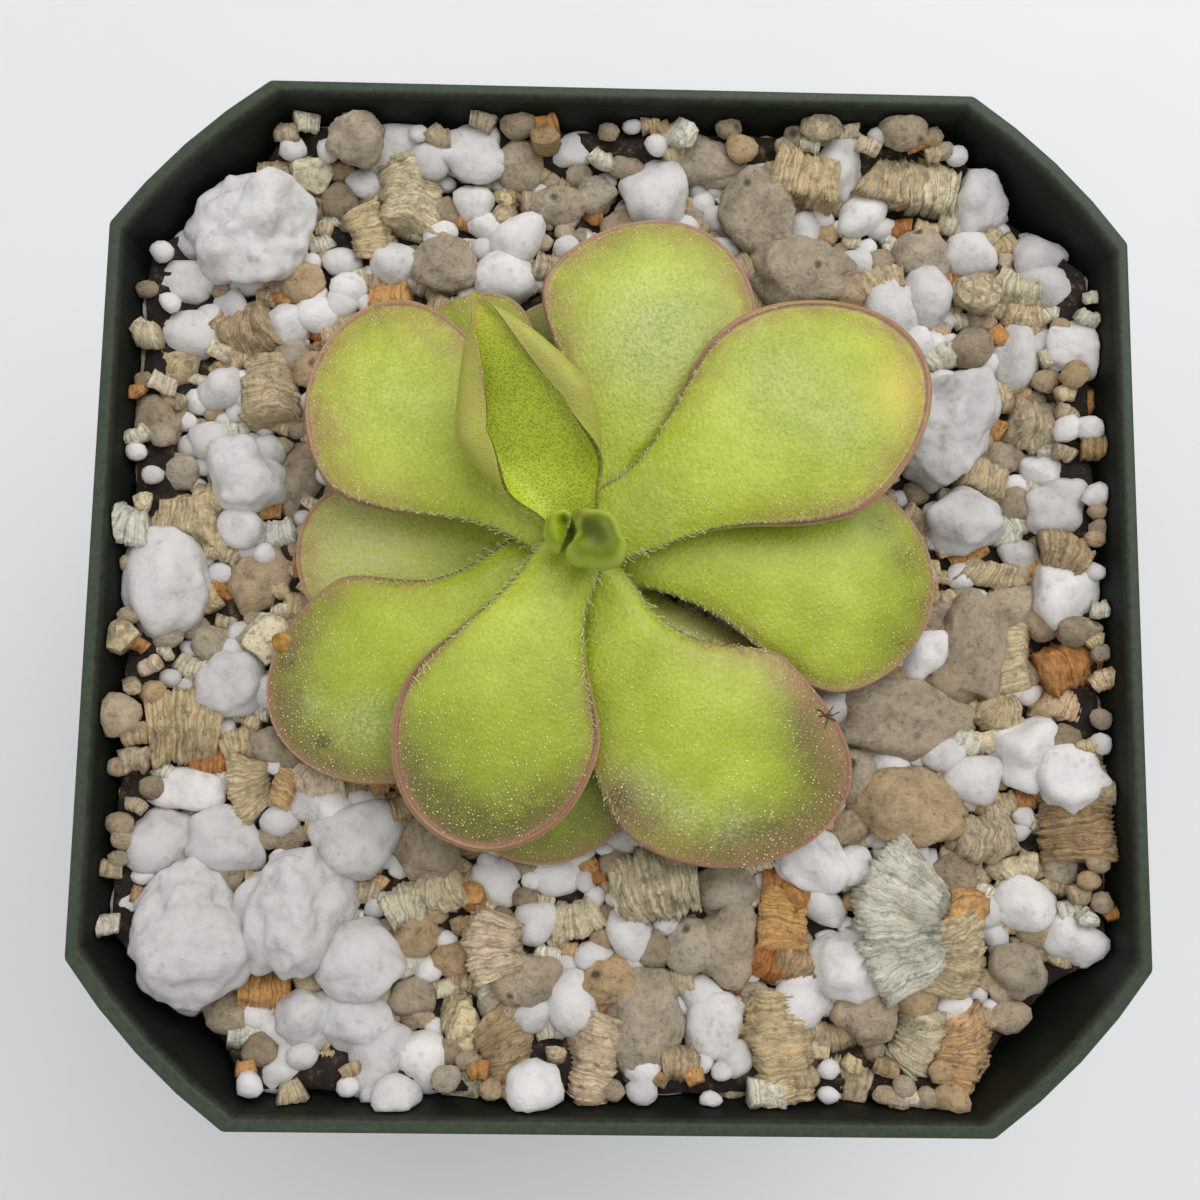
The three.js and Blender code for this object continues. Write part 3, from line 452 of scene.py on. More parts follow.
def exfoliated_vermiculite(settings):
    """Mica puffed up into stacks of thin sheets: bronze to silver, torn along the edges, with dirt
    and painted shade between the sheets, painted glints and dark cracks in patches, and a dull metallic
    glint."""
    material, add, shader, place = begin_material("exfoliated_vermiculite")
    base = Vector(settings.vermiculite)
    tone = add("Attribute", {"attribute_name": "tone"}).outputs["Fac"]
    stops = [(0.0, "#A88A60"), (0.16, "#BFAF92"), (0.4, base), (0.58, "#DED2B2"), (0.74, "#E0DECF"),
             (0.86, "#D2A265"), (1.0, "#AC6C36")]
    hue = add("ValToRGB", {"stops": stops}, {"Fac": tone})
    sheet = add("Attribute", {"attribute_name": "sheet"}).outputs["Fac"]
    wander = add("TexNoise", {"Scale": across(1.1), "Detail": 5}, {"Vector": place})
    wavy = add("Math", {"operation": "MULTIPLY_ADD", 1: 0.8}, {0: wander, 2: sheet})
    # The sheet attribute counts millimetres through a stack. Sheets are about 0.1 mm thick and are
    # drawn at about 0.3 mm so that they show.
    seams = add(
        "TexNoise", {"noise_dimensions": "1D", "Scale": 3.4, "Detail": 4, "Roughness": 0.8}, {"W": wavy})
    # Banding across the sheets: the darker lines are dirt and painted shade between sheets, the paler ones
    # painted highlight.
    stripe = add("MapRange", {"range": (0.36, 0.6, 0.7, 1.32)}, {"Value": seams})
    patch = add("TexNoise", {"Scale": across(0.8), "Detail": 6, "Roughness": 0.75}, {"Vector": place})
    rusty = add("MapRange", {"range": (0.52, 0.68, 0, 0.5)}, {"Value": patch})
    stained = add("Mix", {"data_type": "RGBA", 7: rgba("#8E6237")}, {0: rusty, 6: hue})
    # Patches of painted glints, and of dark cracks painted as shade.
    glint_and_crack_shade = add("MapRange", {"range": (0.34, 0.6, 0.66, 1.65)}, {"Value": patch})
    both = add("Math", {"operation": "MULTIPLY"}, {0: stripe, 1: glint_and_crack_shade})
    shaded = add("VectorMath", {"operation": "SCALE"}, {0: stained, 3: both})
    gloss = add("MapRange", {"range": (0, 1, 0.28, 0.55)}, {"Value": patch})
    bump = add("Bump", {"Strength": 0.9, "Distance": 0.22 * MM}, {"Height": seams})
    crumple = add("Bump", {"Strength": 1, "Distance": 0.55 * MM}, {"Height": patch, "Normal": bump})
    finish_shader(shader, {"Base Color": shaded, "Roughness": gloss, "Normal": crumple}, Metallic=0.2)
    return material


def fired_clay(settings):
    """Tumbled clay and pumice pebbles: taupe to tan, dusty, with open pores and a few deep holes,
    both painted darker as shade, the holes showing as dark specks."""
    material, add, shader, place = begin_material("fired_clay")
    base = Vector(settings.clay)
    tone = add("Attribute", {"attribute_name": "tone"}).outputs["Fac"]
    stops = [(0.0, base * 0.76), (0.3, base * 0.95), (0.6, "#CCBDA6"), (0.82, "#D2B286"), (1.0, "#D8C6AA")]
    hue = add("ValToRGB", {"stops": stops}, {"Fac": tone})
    dusty = add("TexNoise", {"Scale": across(2.4), "Detail": 8, "Roughness": 0.8}, {"Vector": place})
    level = add("MapRange", {"range": (0.32, 0.58, 0.66, 1.4)}, {"Value": dusty})
    pores = add("TexNoise", {"Scale": across(0.6), "Detail": 4, "Roughness": 0.75}, {"Vector": place})
    # Open pores, painted darker as shade.
    open_pores = add("MapRange", {"range": (0.28, 0.44, 0.72, 1.04)}, {"Value": pores})
    holes = add("TexVoronoi", {"Scale": across(3.4), "Randomness": 1}, {"Vector": place})
    # Deep holes, painted dark as shade.
    deep = add("MapRange", {"range": (0.07, 0.16, 0.25, 1)}, {"Value": holes})
    both = add("Math", {"operation": "MULTIPLY"}, {0: level, 1: open_pores})
    pitted = add("Math", {"operation": "MULTIPLY"}, {0: both, 1: deep})
    shaded = add("VectorMath", {"operation": "SCALE"}, {0: hue, 3: pitted})
    bump = add("Bump", {"Strength": 1, "Distance": 0.9 * MM}, {"Height": dusty})
    sunken = add("Bump", {"Strength": 0.7, "Distance": 0.3 * MM}, {"Height": deep, "Normal": bump})
    pocked = add("Bump", {"Strength": 0.8, "Distance": 0.16 * MM}, {"Height": pores, "Normal": sunken})
    finish_shader(shader, {"Base Color": shaded, "Normal": pocked}, Roughness=0.88)
    return material


def damp_fines(settings):
    """Peat dust and crumbled grains: dark brown where damp, with paler crumbs."""
    material, add, shader, place = begin_material("damp_fines")
    base = Vector(settings.fines)
    crumbs = add("TexNoise", {"Scale": across(0.9), "Detail": 7, "Roughness": 0.72}, {"Vector": place})
    body = add(
        "ValToRGB", {"stops": [(0.4, base * 0.45), (0.55, base), (0.66, "#6E5840"), (0.76, "#A08867")]},
        {"Fac": crumbs})
    bump = add("Bump", {"Strength": 0.9, "Distance": 0.4 * MM}, {"Height": crumbs})
    finish_shader(shader, {"Base Color": body, "Normal": bump}, Roughness=0.92)
    return material


def leaf_skin(settings, name, pitted=False):
    """Living butterwort leaf: thin, translucent and dimpled round its glands, tinted mauve where the
    light has caught the margin, and brown where leaf bases rub together, darkened further there as painted
    shade. Painted shade also darkens the drooping ends, and painted light and painted sheen brighten some
    leaves."""
    material, add, shader, place = begin_material(name)
    leaf, light, shade = Vector(settings.leaf), Vector(settings.light), Vector(settings.shade)
    patch = add("TexNoise", {"Scale": across(6), "Detail": 3, "Roughness": 0.5}, {"Vector": place})
    green = add("ValToRGB", {"stops": [(0.3, shade), (0.5, leaf), (0.7, light)]}, {"Fac": patch})
    grit = add("TexNoise", {"Scale": across(0.24), "Detail": 2}, {"Vector": place})
    fine = add("MapRange", {"range": (0.3, 0.7, 0.88, 1.12)}, {"Value": grit})
    colour = add("VectorMath", {"operation": "SCALE"}, {0: green, 3: fine})
    # A small pimple for each gland, in cells of 0.3 mm, or a pit, in cells of 0.16 mm, painted darker inside
    # as shade and paler on its rim as painted light.
    pimples = add("TexVoronoi", {"Scale": across(0.16 if pitted else 0.3)}, {"Vector": place})
    if pitted:
        pit_shade = add("MapRange", {"range": (0.15, 0.5, 0.56, 1.22)}, {"Value": pimples})
        colour = add("VectorMath", {"operation": "SCALE"}, {0: colour, 3: pit_shade})
    ragged = add("TexNoise", {"Scale": across(1.3), "Detail": 5, "Roughness": 0.65}, {"Vector": place})
    # Each tint: its attribute, its colour, how ragged it is, and what breaks it up.
    tints = {
        # Painted light, brightening leaves and patches that lie in shade.
        "glow": ("#D2C848", 0.5, ragged),
        # Darker green of older leaves, also laid as painted shade near the crown.
        "age": ("#87922A", 0.4, ragged),
        # Painted shade on drooping ends and in shaded corners.
        "olive": ("#6C6A2A", 0.35, ragged),
        # Painted sheen: a pale wet glare in patches, also used as painted light.
        "frost": ("#C6CA94", 1.0, grit),
        "under": ("#A8A648", 0.3, ragged),
        "blush": ("#A07A5A", 0.7, ragged),
        "lip": (Vector(settings.blush), 0.25, ragged),
        "line": ("#7D4C4A", 0.4, ragged),
        # Brown seam lines where bases rub, spread into painted shade between overlapping leaves.
        "seam": ("#523A28", 0.5, grit),
        "soil": ("#584A26", 0.9, grit),
    }
    for word, (tint, unevenness, breakup) in tints.items():
        paint = add("Attribute", {"attribute_name": word}).outputs["Fac"]
        uneven = add(
            "MapRange", {"range": (0.3, 0.7, 1 - unevenness, 1 + unevenness / 2)}, {"Value": breakup})
        share = add("Math", {"operation": "MULTIPLY", "use_clamp": True}, {0: paint, 1: uneven})
        colour = add("Mix", {"data_type": "RGBA", 7: rgba(tint)}, {0: share, 6: colour})
    gloss = add("MapRange", {"range": (0, 1, 0.3, 0.52)}, {"Value": ragged})
    stud = add(
        "Bump", {"Strength": 0.55, "Distance": 0.08 * MM, "invert": not pitted}, {"Height": pimples})
    pucker = add("Bump", {"Strength": 0.25, "Distance": 0.25 * MM}, {"Height": ragged, "Normal": stud})
    finish_shader(
        shader, {"Base Color": colour, "Roughness": gloss, "Normal": pucker}, IOR=1.42,
        Subsurface_Weight=0.25, Subsurface_Radius=(0.8, 1.0, 0.25), Subsurface_Scale=0.6 * MM,
        Coat_Weight=0.1, Coat_Roughness=0.2)
    return material


def bud_skin(settings):
    """Smooth underside of a leaf just unfolding: satin green, with a painted highlight along its
    crest, painted shade in its hollows, and bruised brown at one tip."""
    material, add, shader, place = begin_material("bud_skin")
    faint = add("TexNoise", {"Scale": across(0.8), "Detail": 3}, {"Vector": place})
    base = Vector(settings.bud)
    colour = add("ValToRGB", {"stops": [(0.3, base * 0.85), (0.7, base * 1.15)]}, {"Fac": faint})
    # The darkest tint is painted shade in the hollows, the palest a painted highlight along the crest.
    tints = {"fresh": "#8A9C16", "deep": "#4C5810", "crest": "#A8B64C", "rust": "#8C7440"}
    for word in BUD_PAINTS:
        share = add("Attribute", {"attribute_name": word}).outputs["Fac"]
        colour = add("Mix", {"data_type": "RGBA", 7: rgba(tints[word])}, {0: share, 6: colour})
    finish_shader(
        shader, {"Base Color": colour}, Roughness=0.45, IOR=1.42, Specular_IOR_Level=0.3,
        Subsurface_Weight=0.2, Subsurface_Radius=(0.8, 1.0, 0.25), Subsurface_Scale=0.5 * MM)
    return material


def gland_stalk():
    """Short hair of a few clear cells: cream with a breath of green, lit right through."""
    return two_tone(
        "gland_stalk", 2.5, [(0.3, "#CFCB76"), (0.7, "#F0ECBC")],
        Roughness=0.35, Subsurface_Weight=0.5, Subsurface_Scale=0.2 * MM)


def sticky_droplet():
    """Drop of clear slime on a gland: wet and bright, tinted by the leaf under it."""
    return two_tone("sticky_droplet", 1.5, [(0.35, "#C6CE6A"), (0.65, "#ECEFC0")], Roughness=0.08, IOR=1.4)


def corky_stem(settings):
    """Short stem of a rosette: corky brown where old leaves came off, soft green at the top."""
    material, add, shader, place = begin_material("corky_stem")
    cork = add("TexNoise", {"Scale": across(0.9), "Detail": 5, "Roughness": 0.7}, {"Vector": place})
    body = add(
        "ValToRGB", {"stops": [(0.35, "#5B4B2C"), (0.55, "#8A8042"), (0.75, Vector(settings.shade))]},
        {"Fac": cork})
    height = add("SeparateXYZ", links={"Vector": place}).outputs["Z"]
    fresh = add("MapRange", {"range": (67 * MM, 69.4 * MM)}, {"Value": height})
    young = add("Mix", {"data_type": "RGBA", 7: rgba("#71852A")}, {0: fresh, 6: body})
    bump = add("Bump", {"Strength": 0.6, "Distance": 0.1 * MM}, {"Height": cork})
    finish_shader(shader, {"Base Color": young, "Normal": bump}, Roughness=0.6)
    return material


def amber_scale():
    """Waxy shell of a scale insect: amber, half clear, smooth."""
    return two_tone(
        "amber_scale", 0.8, [(0.35, "#7C5A18"), (0.65, "#B28A30")], detail=3,
        Roughness=0.3, Subsurface_Weight=0.4, Subsurface_Scale=0.4 * MM)


def dry_thread():
    """Leg or root hair stuck to the slime: dry, dark brown."""
    return two_tone("dry_thread", 0.5, [(0.3, "#1E1A14"), (0.7, "#4A3C26")], Roughness=0.6)


def matt_card(settings):
    """White card under the pot: matt, with a fibre too fine to see."""
    base = Vector(settings.table)
    return two_tone("matt_card", 30, [(0.3, base * 0.98), (0.7, base)], Roughness=0.8)


# ---- meshes ----


def add_piece(name, bm, materials, replaces=(), flat=False):
    """A finished piece of the object, in place and riding on the frame."""
    for face in bm.faces:
        face.smooth = not flat
    mesh = bpy.data.meshes.new(name)
    bm.to_mesh(mesh)
    bm.free()
    for material in materials:
        mesh.materials.append(material)
    piece = bpy.data.objects.new(name, mesh)
    bpy.context.scene.collection.objects.link(piece)
    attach(piece, "root")
    if replaces:
        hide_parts(*replaces)
    return piece


def joined(parts):
    """One bmesh from many small ones, which it uses up."""
    whole = bmesh.new()
    carrier = bpy.data.meshes.new("carrier")
    for part in parts:
        part.to_mesh(carrier)
        part.free()
        whole.from_mesh(carrier)
    bpy.data.meshes.remove(carrier)
    return whole


def standing(direction):
    """A turn that stands a piece's Z axis along a direction."""
    return direction.to_track_quat("Z", "Y").to_matrix().to_4x4()


def verts_in(items):
    """The vertices among what an operator made."""
    return [item for item in items if isinstance(item, bmesh.types.BMVert)]


def soften(bm, factor):
    """Draws every point towards its neighbours."""
    bmesh.ops.smooth_vert(
        bm, verts=bm.verts, factor=factor, use_axis_x=True, use_axis_y=True, use_axis_z=True)


def copies(template, places):
    """One bmesh with a copy of a small mesh at each place, a matrix."""
    whole = bmesh.new()
    last = Matrix.Identity(4)
    for place in places:
        template.transform(place @ last.inverted())
        last = place
        whole.from_mesh(template)
    return whole


# ---- pot ----


def outer_half(z):
    """Half width of the pot's wall at a height, up to the band."""
    return BASE_HALF + (WALL_TOP_HALF - BASE_HALF) * z / POT_BAND


def inner_half(z):
    """Half width of the pot's inside at a height."""
    profile = [
        (POT_FLOOR, outer_half(POT_FLOOR) - WALL),
        (STEP_LOW, WALL_TOP_HALF - WALL),
        (STEP_HIGH, BAND_HALF - WALL),
        (RIM.z - 0.4, RIM.x - 0.1 - WALL),
    ]
    for (low, narrow), (high, wide) in zip(profile, profile[1:]):
        if z <= high:
            break
    return narrow + (wide - narrow) * min(max((z - low) / (high - low), 0), 1)


def kept_inside(point, gap):
    """The point, drawn in where it would come nearer to the pot's wall than the gap."""
    limit = inner_half(point.z) - gap
    x, y = (min(max(value, -limit), limit) for value in point.xy)
    over = max(1, (abs(x) + abs(y)) / (limit * (1 + CREASE)))
    return Vector((x / over, y / over, point.z))


def make_pot(settings):
    """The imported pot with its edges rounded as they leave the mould."""
    bm = bmesh.new()
    bm.from_mesh(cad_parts["pot"].data)
    bmesh.ops.remove_doubles(bm, verts=bm.verts, dist=0.002 * MM)
    bmesh.ops.dissolve_limit(bm, angle_limit=math.radians(0.6), verts=bm.verts, edges=bm.edges)
    sharp = [edge for edge in bm.edges if edge.calc_face_angle(0) > math.radians(22)]
    bmesh.ops.bevel(
        bm, geom=sharp, offset=settings.edge, segments=3, profile=0.5, affect="EDGES", material=-1,
        clamp_overlap=True)
    bm.normal_update()
    # Marks the inner wall, which the plastic darkens as painted shade.
    layer = bm.verts.layers.float.new("inside")
    for vert in bm.verts:
        outward = (vert.co * Vector((1, 1, 0))).normalized()
        vert[layer] = smooth((0.1 - vert.normal.dot(outward)) / 0.4)
    return add_piece("pot_shell", bm, [pot_plastic(settings)], ["pot"])


# ---- blades ----


def cross_section(leaf, curl):
    """Half of a blade's cross section from the midrib out, for a half width of 1."""
    steps = 48
    table = [(0.0, 0.0, 0.0)]
    for i in range(1, steps + 1):
        r = i / steps
        upturn = curl * smooth((r - leaf["start"]) / (1 - leaf["start"]))
        slope = math.radians(leaf["cup"] * r + upturn)
        reach, lift, last = table[-1]
        reach += (math.cos(slope) + math.cos(last)) / 2 / steps
        lift += (math.sin(slope) + math.sin(last)) / 2 / steps
        table.append((reach, lift, slope))

    def at(r):
        place = min(r, 1) * steps
        i = min(int(place), steps - 1)
        f = place - i
        return [a * (1 - f) + b * f for a, b in zip(table[i], table[i + 1])]

    return at


def midrib(leaf):
    """The midrib: an arc in the vertical with a sideways bend."""
    steps = 60
    length = leaf["length"]
    first = math.radians(leaf["turn"] - leaf["bend"] / 2)
    base = LOWEST_LEAF + LEAF_STEP * (LAST_ORDER - leaf["order"])
    point = CROWN + Vector((leaf["seat"] * math.cos(first), leaf["seat"] * math.sin(first), base))
    stations = []
    for i in range(steps + 1):
        slope = math.radians(leaf["rise"] - leaf["droop"] * i / steps)
        turn = math.radians(leaf["turn"] + leaf["bend"] * (i / steps - 0.5))
        tangent = Vector(
            (math.cos(slope) * math.cos(turn), math.cos(slope) * math.sin(turn), math.sin(slope)))
        if stations:
            point = point + (stations[-1][1] + tangent) * (length / steps / 2)
        stations.append((point, tangent, Vector((-math.sin(turn), math.cos(turn), 0))))

    def at(x):
        place = min(max(x, 0), length) / length * steps
        i = min(int(place), steps - 1)
        spot, tangent, side = (a.lerp(b, place - i) for a, b in zip(stations[i], stations[i + 1]))
        tangent.normalize()
        spot = spot + tangent * min(x, 0)
        face = tangent.cross(side)
        twist = Quaternion(tangent, math.radians(leaf["roll"] * x / length))
        side.rotate(twist)
        face.rotate(twist)
        return spot, tangent, side, face

    return at


def blade_place(leaf, v, u):
    """Where a point of the blade lies. v is below 0 in the stem, runs up the neck to 1 and
    round the end to 2, and u goes from the right margin (-1) to the left one (1)."""
    half = leaf["width"] / 2
    widest = leaf["widest"] * leaf["length"]
    hand = (u > 0) - (u < 0)
    if v < 1:
        opened = smooth(v) ** (leaf["ease"] * (1 + leaf["lean"] * hand))
        width = (leaf["neck"] / 2 + (half - leaf["neck"] / 2) * opened) * (1 + leaf["skew"] * hand)
        return abs(u), widest * v if v > 0 else 4 * TUCK * v, 0, width * (1 + 1.2 * min(v, 0)), 0, hand
    angle = math.pi / 2 * (v - 1)
    along, aside = math.sin(angle), u * math.cos(angle)
    out = math.hypot(along, aside)
    width = half * (1 + leaf["skew"] * hand * math.cos(angle)) * (1 - leaf["point"] * along)
    if out == 0:
        return 0, widest, leaf["length"] - widest, width, 0, 0
    return out, widest, leaf["length"] - widest, width, along / out, aside / out


def blade_curl(leaf, v):
    if v < 1:
        return leaf["curl"] * (leaf["early"] + (1 - leaf["early"]) * smooth(v))
    end = math.sin(math.pi / 2 * (v - 1)) ** 2
    return leaf["curl"] * (1 - (1 - leaf["late"]) * end)


def blade_thickness(leaf, x, out):
    body = BLADE_BASE + (BLADE_MIDDLE - BLADE_BASE) * smooth(x / (0.35 * leaf["length"]))
    return BLADE_MARGIN + (body - BLADE_MARGIN) * (1 - out**4)


def blade_reader(leaf, thinning=EDGE_THINNING):
    """A function of v and u that gives the blade's middle, its half thickness as a vector
    towards the upper face, how far out the point is, how far from the margin and how far
    along the leaf."""
    rib = midrib(leaf)
    sections = {}

    def read(v, u):
        if v not in sections:
            sections[v] = cross_section(leaf, blade_curl(leaf, v))
        out, x, reach, width, along, aside = blade_place(leaf, v, u)
        shift, lift, slope = sections[v](out)
        x += reach * shift * along
        point, tangent, side, face = rib(x)
        point = point + side * (width * shift * aside) + face * (width * lift)
        outward = tangent * along + side * aside
        normal = face * math.cos(slope) - outward * math.sin(slope)
        normal.normalize()
        inset = (1 - out) * width
        share = 0.5 - thinning * (1 - smooth(inset / EDGE_REACH))
        half = normal * (blade_thickness(leaf, x, out) * share)
        return point, half, out, inset, x / leaf["length"]

    return read


def undersides():
    """Points on the undersides of the leaves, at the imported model's own spacing."""
    points = []
    for shape in [YOUNG_LEAF, *LEAVES.values()]:
        leaf = {**LEAF, **shape}
        read = blade_reader(leaf, 0)
        rows = [i / leaf["rows"] for i in range(leaf["rows"])]
        rows += [1 + i / leaf["tip_rows"] for i in range(leaf["tip_rows"] + 1)]
        columns = [-u for u in leaf["across"][:0:-1]] + list(leaf["across"])
        for v in rows:
            for u in columns:
                middle, half, _, _, _ = read(v, u)
                points.append(middle - half)
    return points


def outline_reach(bud):
    """A function that gives how far a bud's outline lies from its peak in a direction."""
    middle = Vector(bud["peak"])
    arms = [Vector(spot) - middle for spot in bud["outline"]]
    arms = sorted((math.atan2(arm.y, arm.x), arm.length) for arm in arms)
    turn = 2 * math.pi
    arms = [(arms[-1][0] - turn, arms[-1][1]), *arms, (arms[0][0] + turn, arms[0][1])]

    def reach(angle):
        for (start, near), (end, far) in zip(arms, arms[1:]):
            if angle <= end:
                return near + (far - near) * smooth((angle - start) / (end - start))

    return reach


def make_bud(name, bud, skin):
    """A dome on the bud's outline, dented where the leaf rolls in on itself, on a narrow foot
    that goes down into the stem."""
    bm = bmesh.new()
    bmesh.ops.create_uvsphere(bm, u_segments=72, v_segments=44, radius=1)
    layers = {word: bm.verts.layers.float.new(word) for word in BUD_PAINTS}
    reach = outline_reach(bud)
    for vert in bm.verts:
        share = vert.co.xy.length ** 0.8
        arm = vert.co.xy.normalized() * share * reach(math.atan2(vert.co.y, vert.co.x)) * BUD_SWELL
        spot = (Vector(bud["peak"]) + arm) * (1 - 0.5 * smooth(-vert.co.z))
        upper = smooth(vert.co.z * 2)
        height = bud["top"] - BUD_BASE
        depth = 0.6 * height if vert.co.z > 0 else 0.4 * height + BUD_ROOT
        z = BUD_BASE + 0.4 * height + vert.co.z * depth
        for x, y, radius, dent in bud["hollows"]:
            z -= dent * upper * fade((spot - Vector((x, y))).length, radius)
        for word, x, y, radius, strength in bud["tints"]:
            vert[layers[word]] += strength * fade((spot - Vector((x, y))).length, radius)
        # Painted highlight along the outline's edge, on the upper half.
        vert[layers["crest"]] = smooth((share - 0.62) / 0.3) * smooth(vert.co.z * 2 + 0.6)
        vert.co = (CROWN + Vector((spot.x, spot.y, z))) * MM
    soften(bm, 0.5)
    return add_piece(name + "_leaf", bm, [skin], [name])


def blade_paint(leaf, spot, inset, along, under):
    """How strongly each tint of the skin shows at a place on the upper or the under side."""
    lip = 0 if under else leaf["lip"]
    grown = leaf["flush"] * smooth((along - 0.22) / 0.25)
    tip = smooth((along - 0.5) / 0.35)
    paint = {
        "glow": 0.0, "frost": 0.0, "soil": 0.0,
        # Wear darkens older leaves; near the crown this also serves as painted shade.
        "age": leaf["age"] * smooth((along - 0.15) / 0.3),
        # Painted shade on the drooping end, which faces away from the light.
        "olive": leaf["olive"] * tip * fade(inset, 4.2),
        "blush": 0.75 * grown * fade(inset, leaf["blush"]),
        "lip": grown * (0.6 if under else 1) * (1 - smooth((inset - lip) / 0.2)),
        "line": 0 if under else 0.7 * grown * fade(inset - lip - 0.1, 0.1),
        # Brown seam where bases rub, partly painted shade between the leaves.
        "seam": 0 if under else (1 - smooth(inset / leaf["seam"])) * (1 - smooth((along - 0.4) / 0.25)),
        "fringe": (1 - smooth(inset / 0.7)) * (1 - smooth((along - 0.35) / 0.25)),
    }
    for word, x, y, radius, strength in leaf["dabs"]:
        paint[word] += strength * fade((spot.xy - Vector((x, y))).length, radius)
    return paint


def blade_mesh(leaf, columns, rows):
    """Two grids moved on to the blade's faces, and a rounded margin bridged between them."""
    read = blade_reader(leaf)
    bm = bmesh.new()
    layers = {word: bm.verts.layers.float.new(word) for word in PAINTS}
    for under in (0, 1):
        grid = bmesh.ops.create_grid(bm, x_segments=columns, y_segments=rows, size=1)["verts"]
        for vert in grid:
            u = 0.4 * vert.co.x + 0.6 * math.sin(vert.co.x * math.pi / 2)
            v = round(2 - 1.125 * (1 - vert.co.y), 5)
            middle, half, out, inset, along = read(v, u)
            ripple = RIPPLE * noise.noise(middle * RIPPLES) * out
            middle = middle + half.normalized() * ripple
            vert.co = (middle - half if under else middle + half) * MM
            for word, share in blade_paint(leaf, middle, inset, along, under).items():
                vert[layers[word]] = share
            vert[layers["under"]] = under
        if under:
            bmesh.ops.reverse_faces(bm, faces=list({face for vert in grid for face in vert.link_faces}))
    bmesh.ops.remove_doubles(bm, verts=bm.verts, dist=0.0005 * MM)
    bmesh.ops.bridge_loops(bm, edges=[edge for edge in bm.edges if edge.is_boundary])
    side = layers["under"]
    through = [edge for edge in bm.edges if abs(edge.verts[0][side] - edge.verts[1][side]) > 0.5]
    cut = bmesh.ops.subdivide_edges(bm, edges=through, cuts=2)
    bm.normal_update()
    for vert in verts_in(cut["geom_inner"]):
        vert.co += vert.normal * (MARGIN_BULGE * BLADE_MARGIN * MM)
    bmesh.ops.recalc_face_normals(bm, faces=bm.faces)
    return bm


# ---- stem ----


def make_stem(settings):
    """A corky column, knobbed where old leaves came off, whose top closes under the buds."""
    low, high = (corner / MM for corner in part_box("stem"))
    radius = (high.x - low.x) / 2
    outline = [
        (0, low.z), (0.9 * radius, low.z), (radius, low.z + 0.6), (radius, high.z - 2.4),
        (0.84 * radius, high.z - 1), (0.5 * radius, high.z - 0.3), (0, high.z),
    ]
    bm = bmesh.new()
    points = [bm.verts.new((across_stem, 0, z)) for across_stem, z in outline]
    side = [bm.edges.new(pair) for pair in zip(points, points[1:])]
    bmesh.ops.subdivide_edges(bm, edges=[side[2]], cuts=20)
    bmesh.ops.subdivide_edges(bm, edges=side[3:], cuts=2)
    bmesh.ops.spin(
        bm, geom=bm.verts[:] + bm.edges[:], cent=(0, 0, 0), axis=(0, 0, 1), angle=2 * math.pi, steps=30,
        use_merge=True)
    bmesh.ops.remove_doubles(bm, verts=bm.verts, dist=0.001)
    for vert in bm.verts:
        knob = 0.1 * noise.noise(vert.co * 1.4) * smooth((high.z - vert.co.z) / 2)
        vert.co.xy *= 1 - abs(knob)
        vert.co = (vert.co + CROWN) * MM
    bmesh.ops.recalc_face_normals(bm, faces=bm.faces)
    return add_piece("stem_column", bm, [corky_stem(settings)], ["stem"])


# ---- glands ----


def gland_mesh(length, stalk, drop):
    """One gland, standing on the origin: a drop of slime, on a three-sided stalk unless the
    length is nothing."""
    bm = bmesh.new()
    if length:
        bmesh.ops.create_cone(
            bm, cap_ends=False, segments=3, radius1=stalk * 1.4, radius2=stalk, depth=length,
            matrix=Matrix.Translation((0, 0, length / 2)))
    for face in bm.faces:
        face.material_index = 0
    head = bmesh.ops.create_uvsphere(
        bm, u_segments=4, v_segments=2, radius=drop, matrix=Matrix.Translation((0, 0, length + drop * 0.35)))
    for face in {face for vert in head["verts"] for face in vert.link_faces}:
        face.material_index = 1
    for face in bm.faces:
        face.smooth = True
    mesh = bpy.data.meshes.new("gland")
    bm.to_mesh(mesh)
    bm.free()
    return mesh


def cover_of(blades):
    """Every face of the blades, to look up what lies under another blade."""
    points, faces = [], []
    for blade in blades:
        start = len(points)
        points += [vert.co.copy() for vert in blade.data.vertices]
        faces += [[start + i for i in polygon.vertices] for polygon in blade.data.polygons]
    return BVHTree.FromPolygons(points, faces)


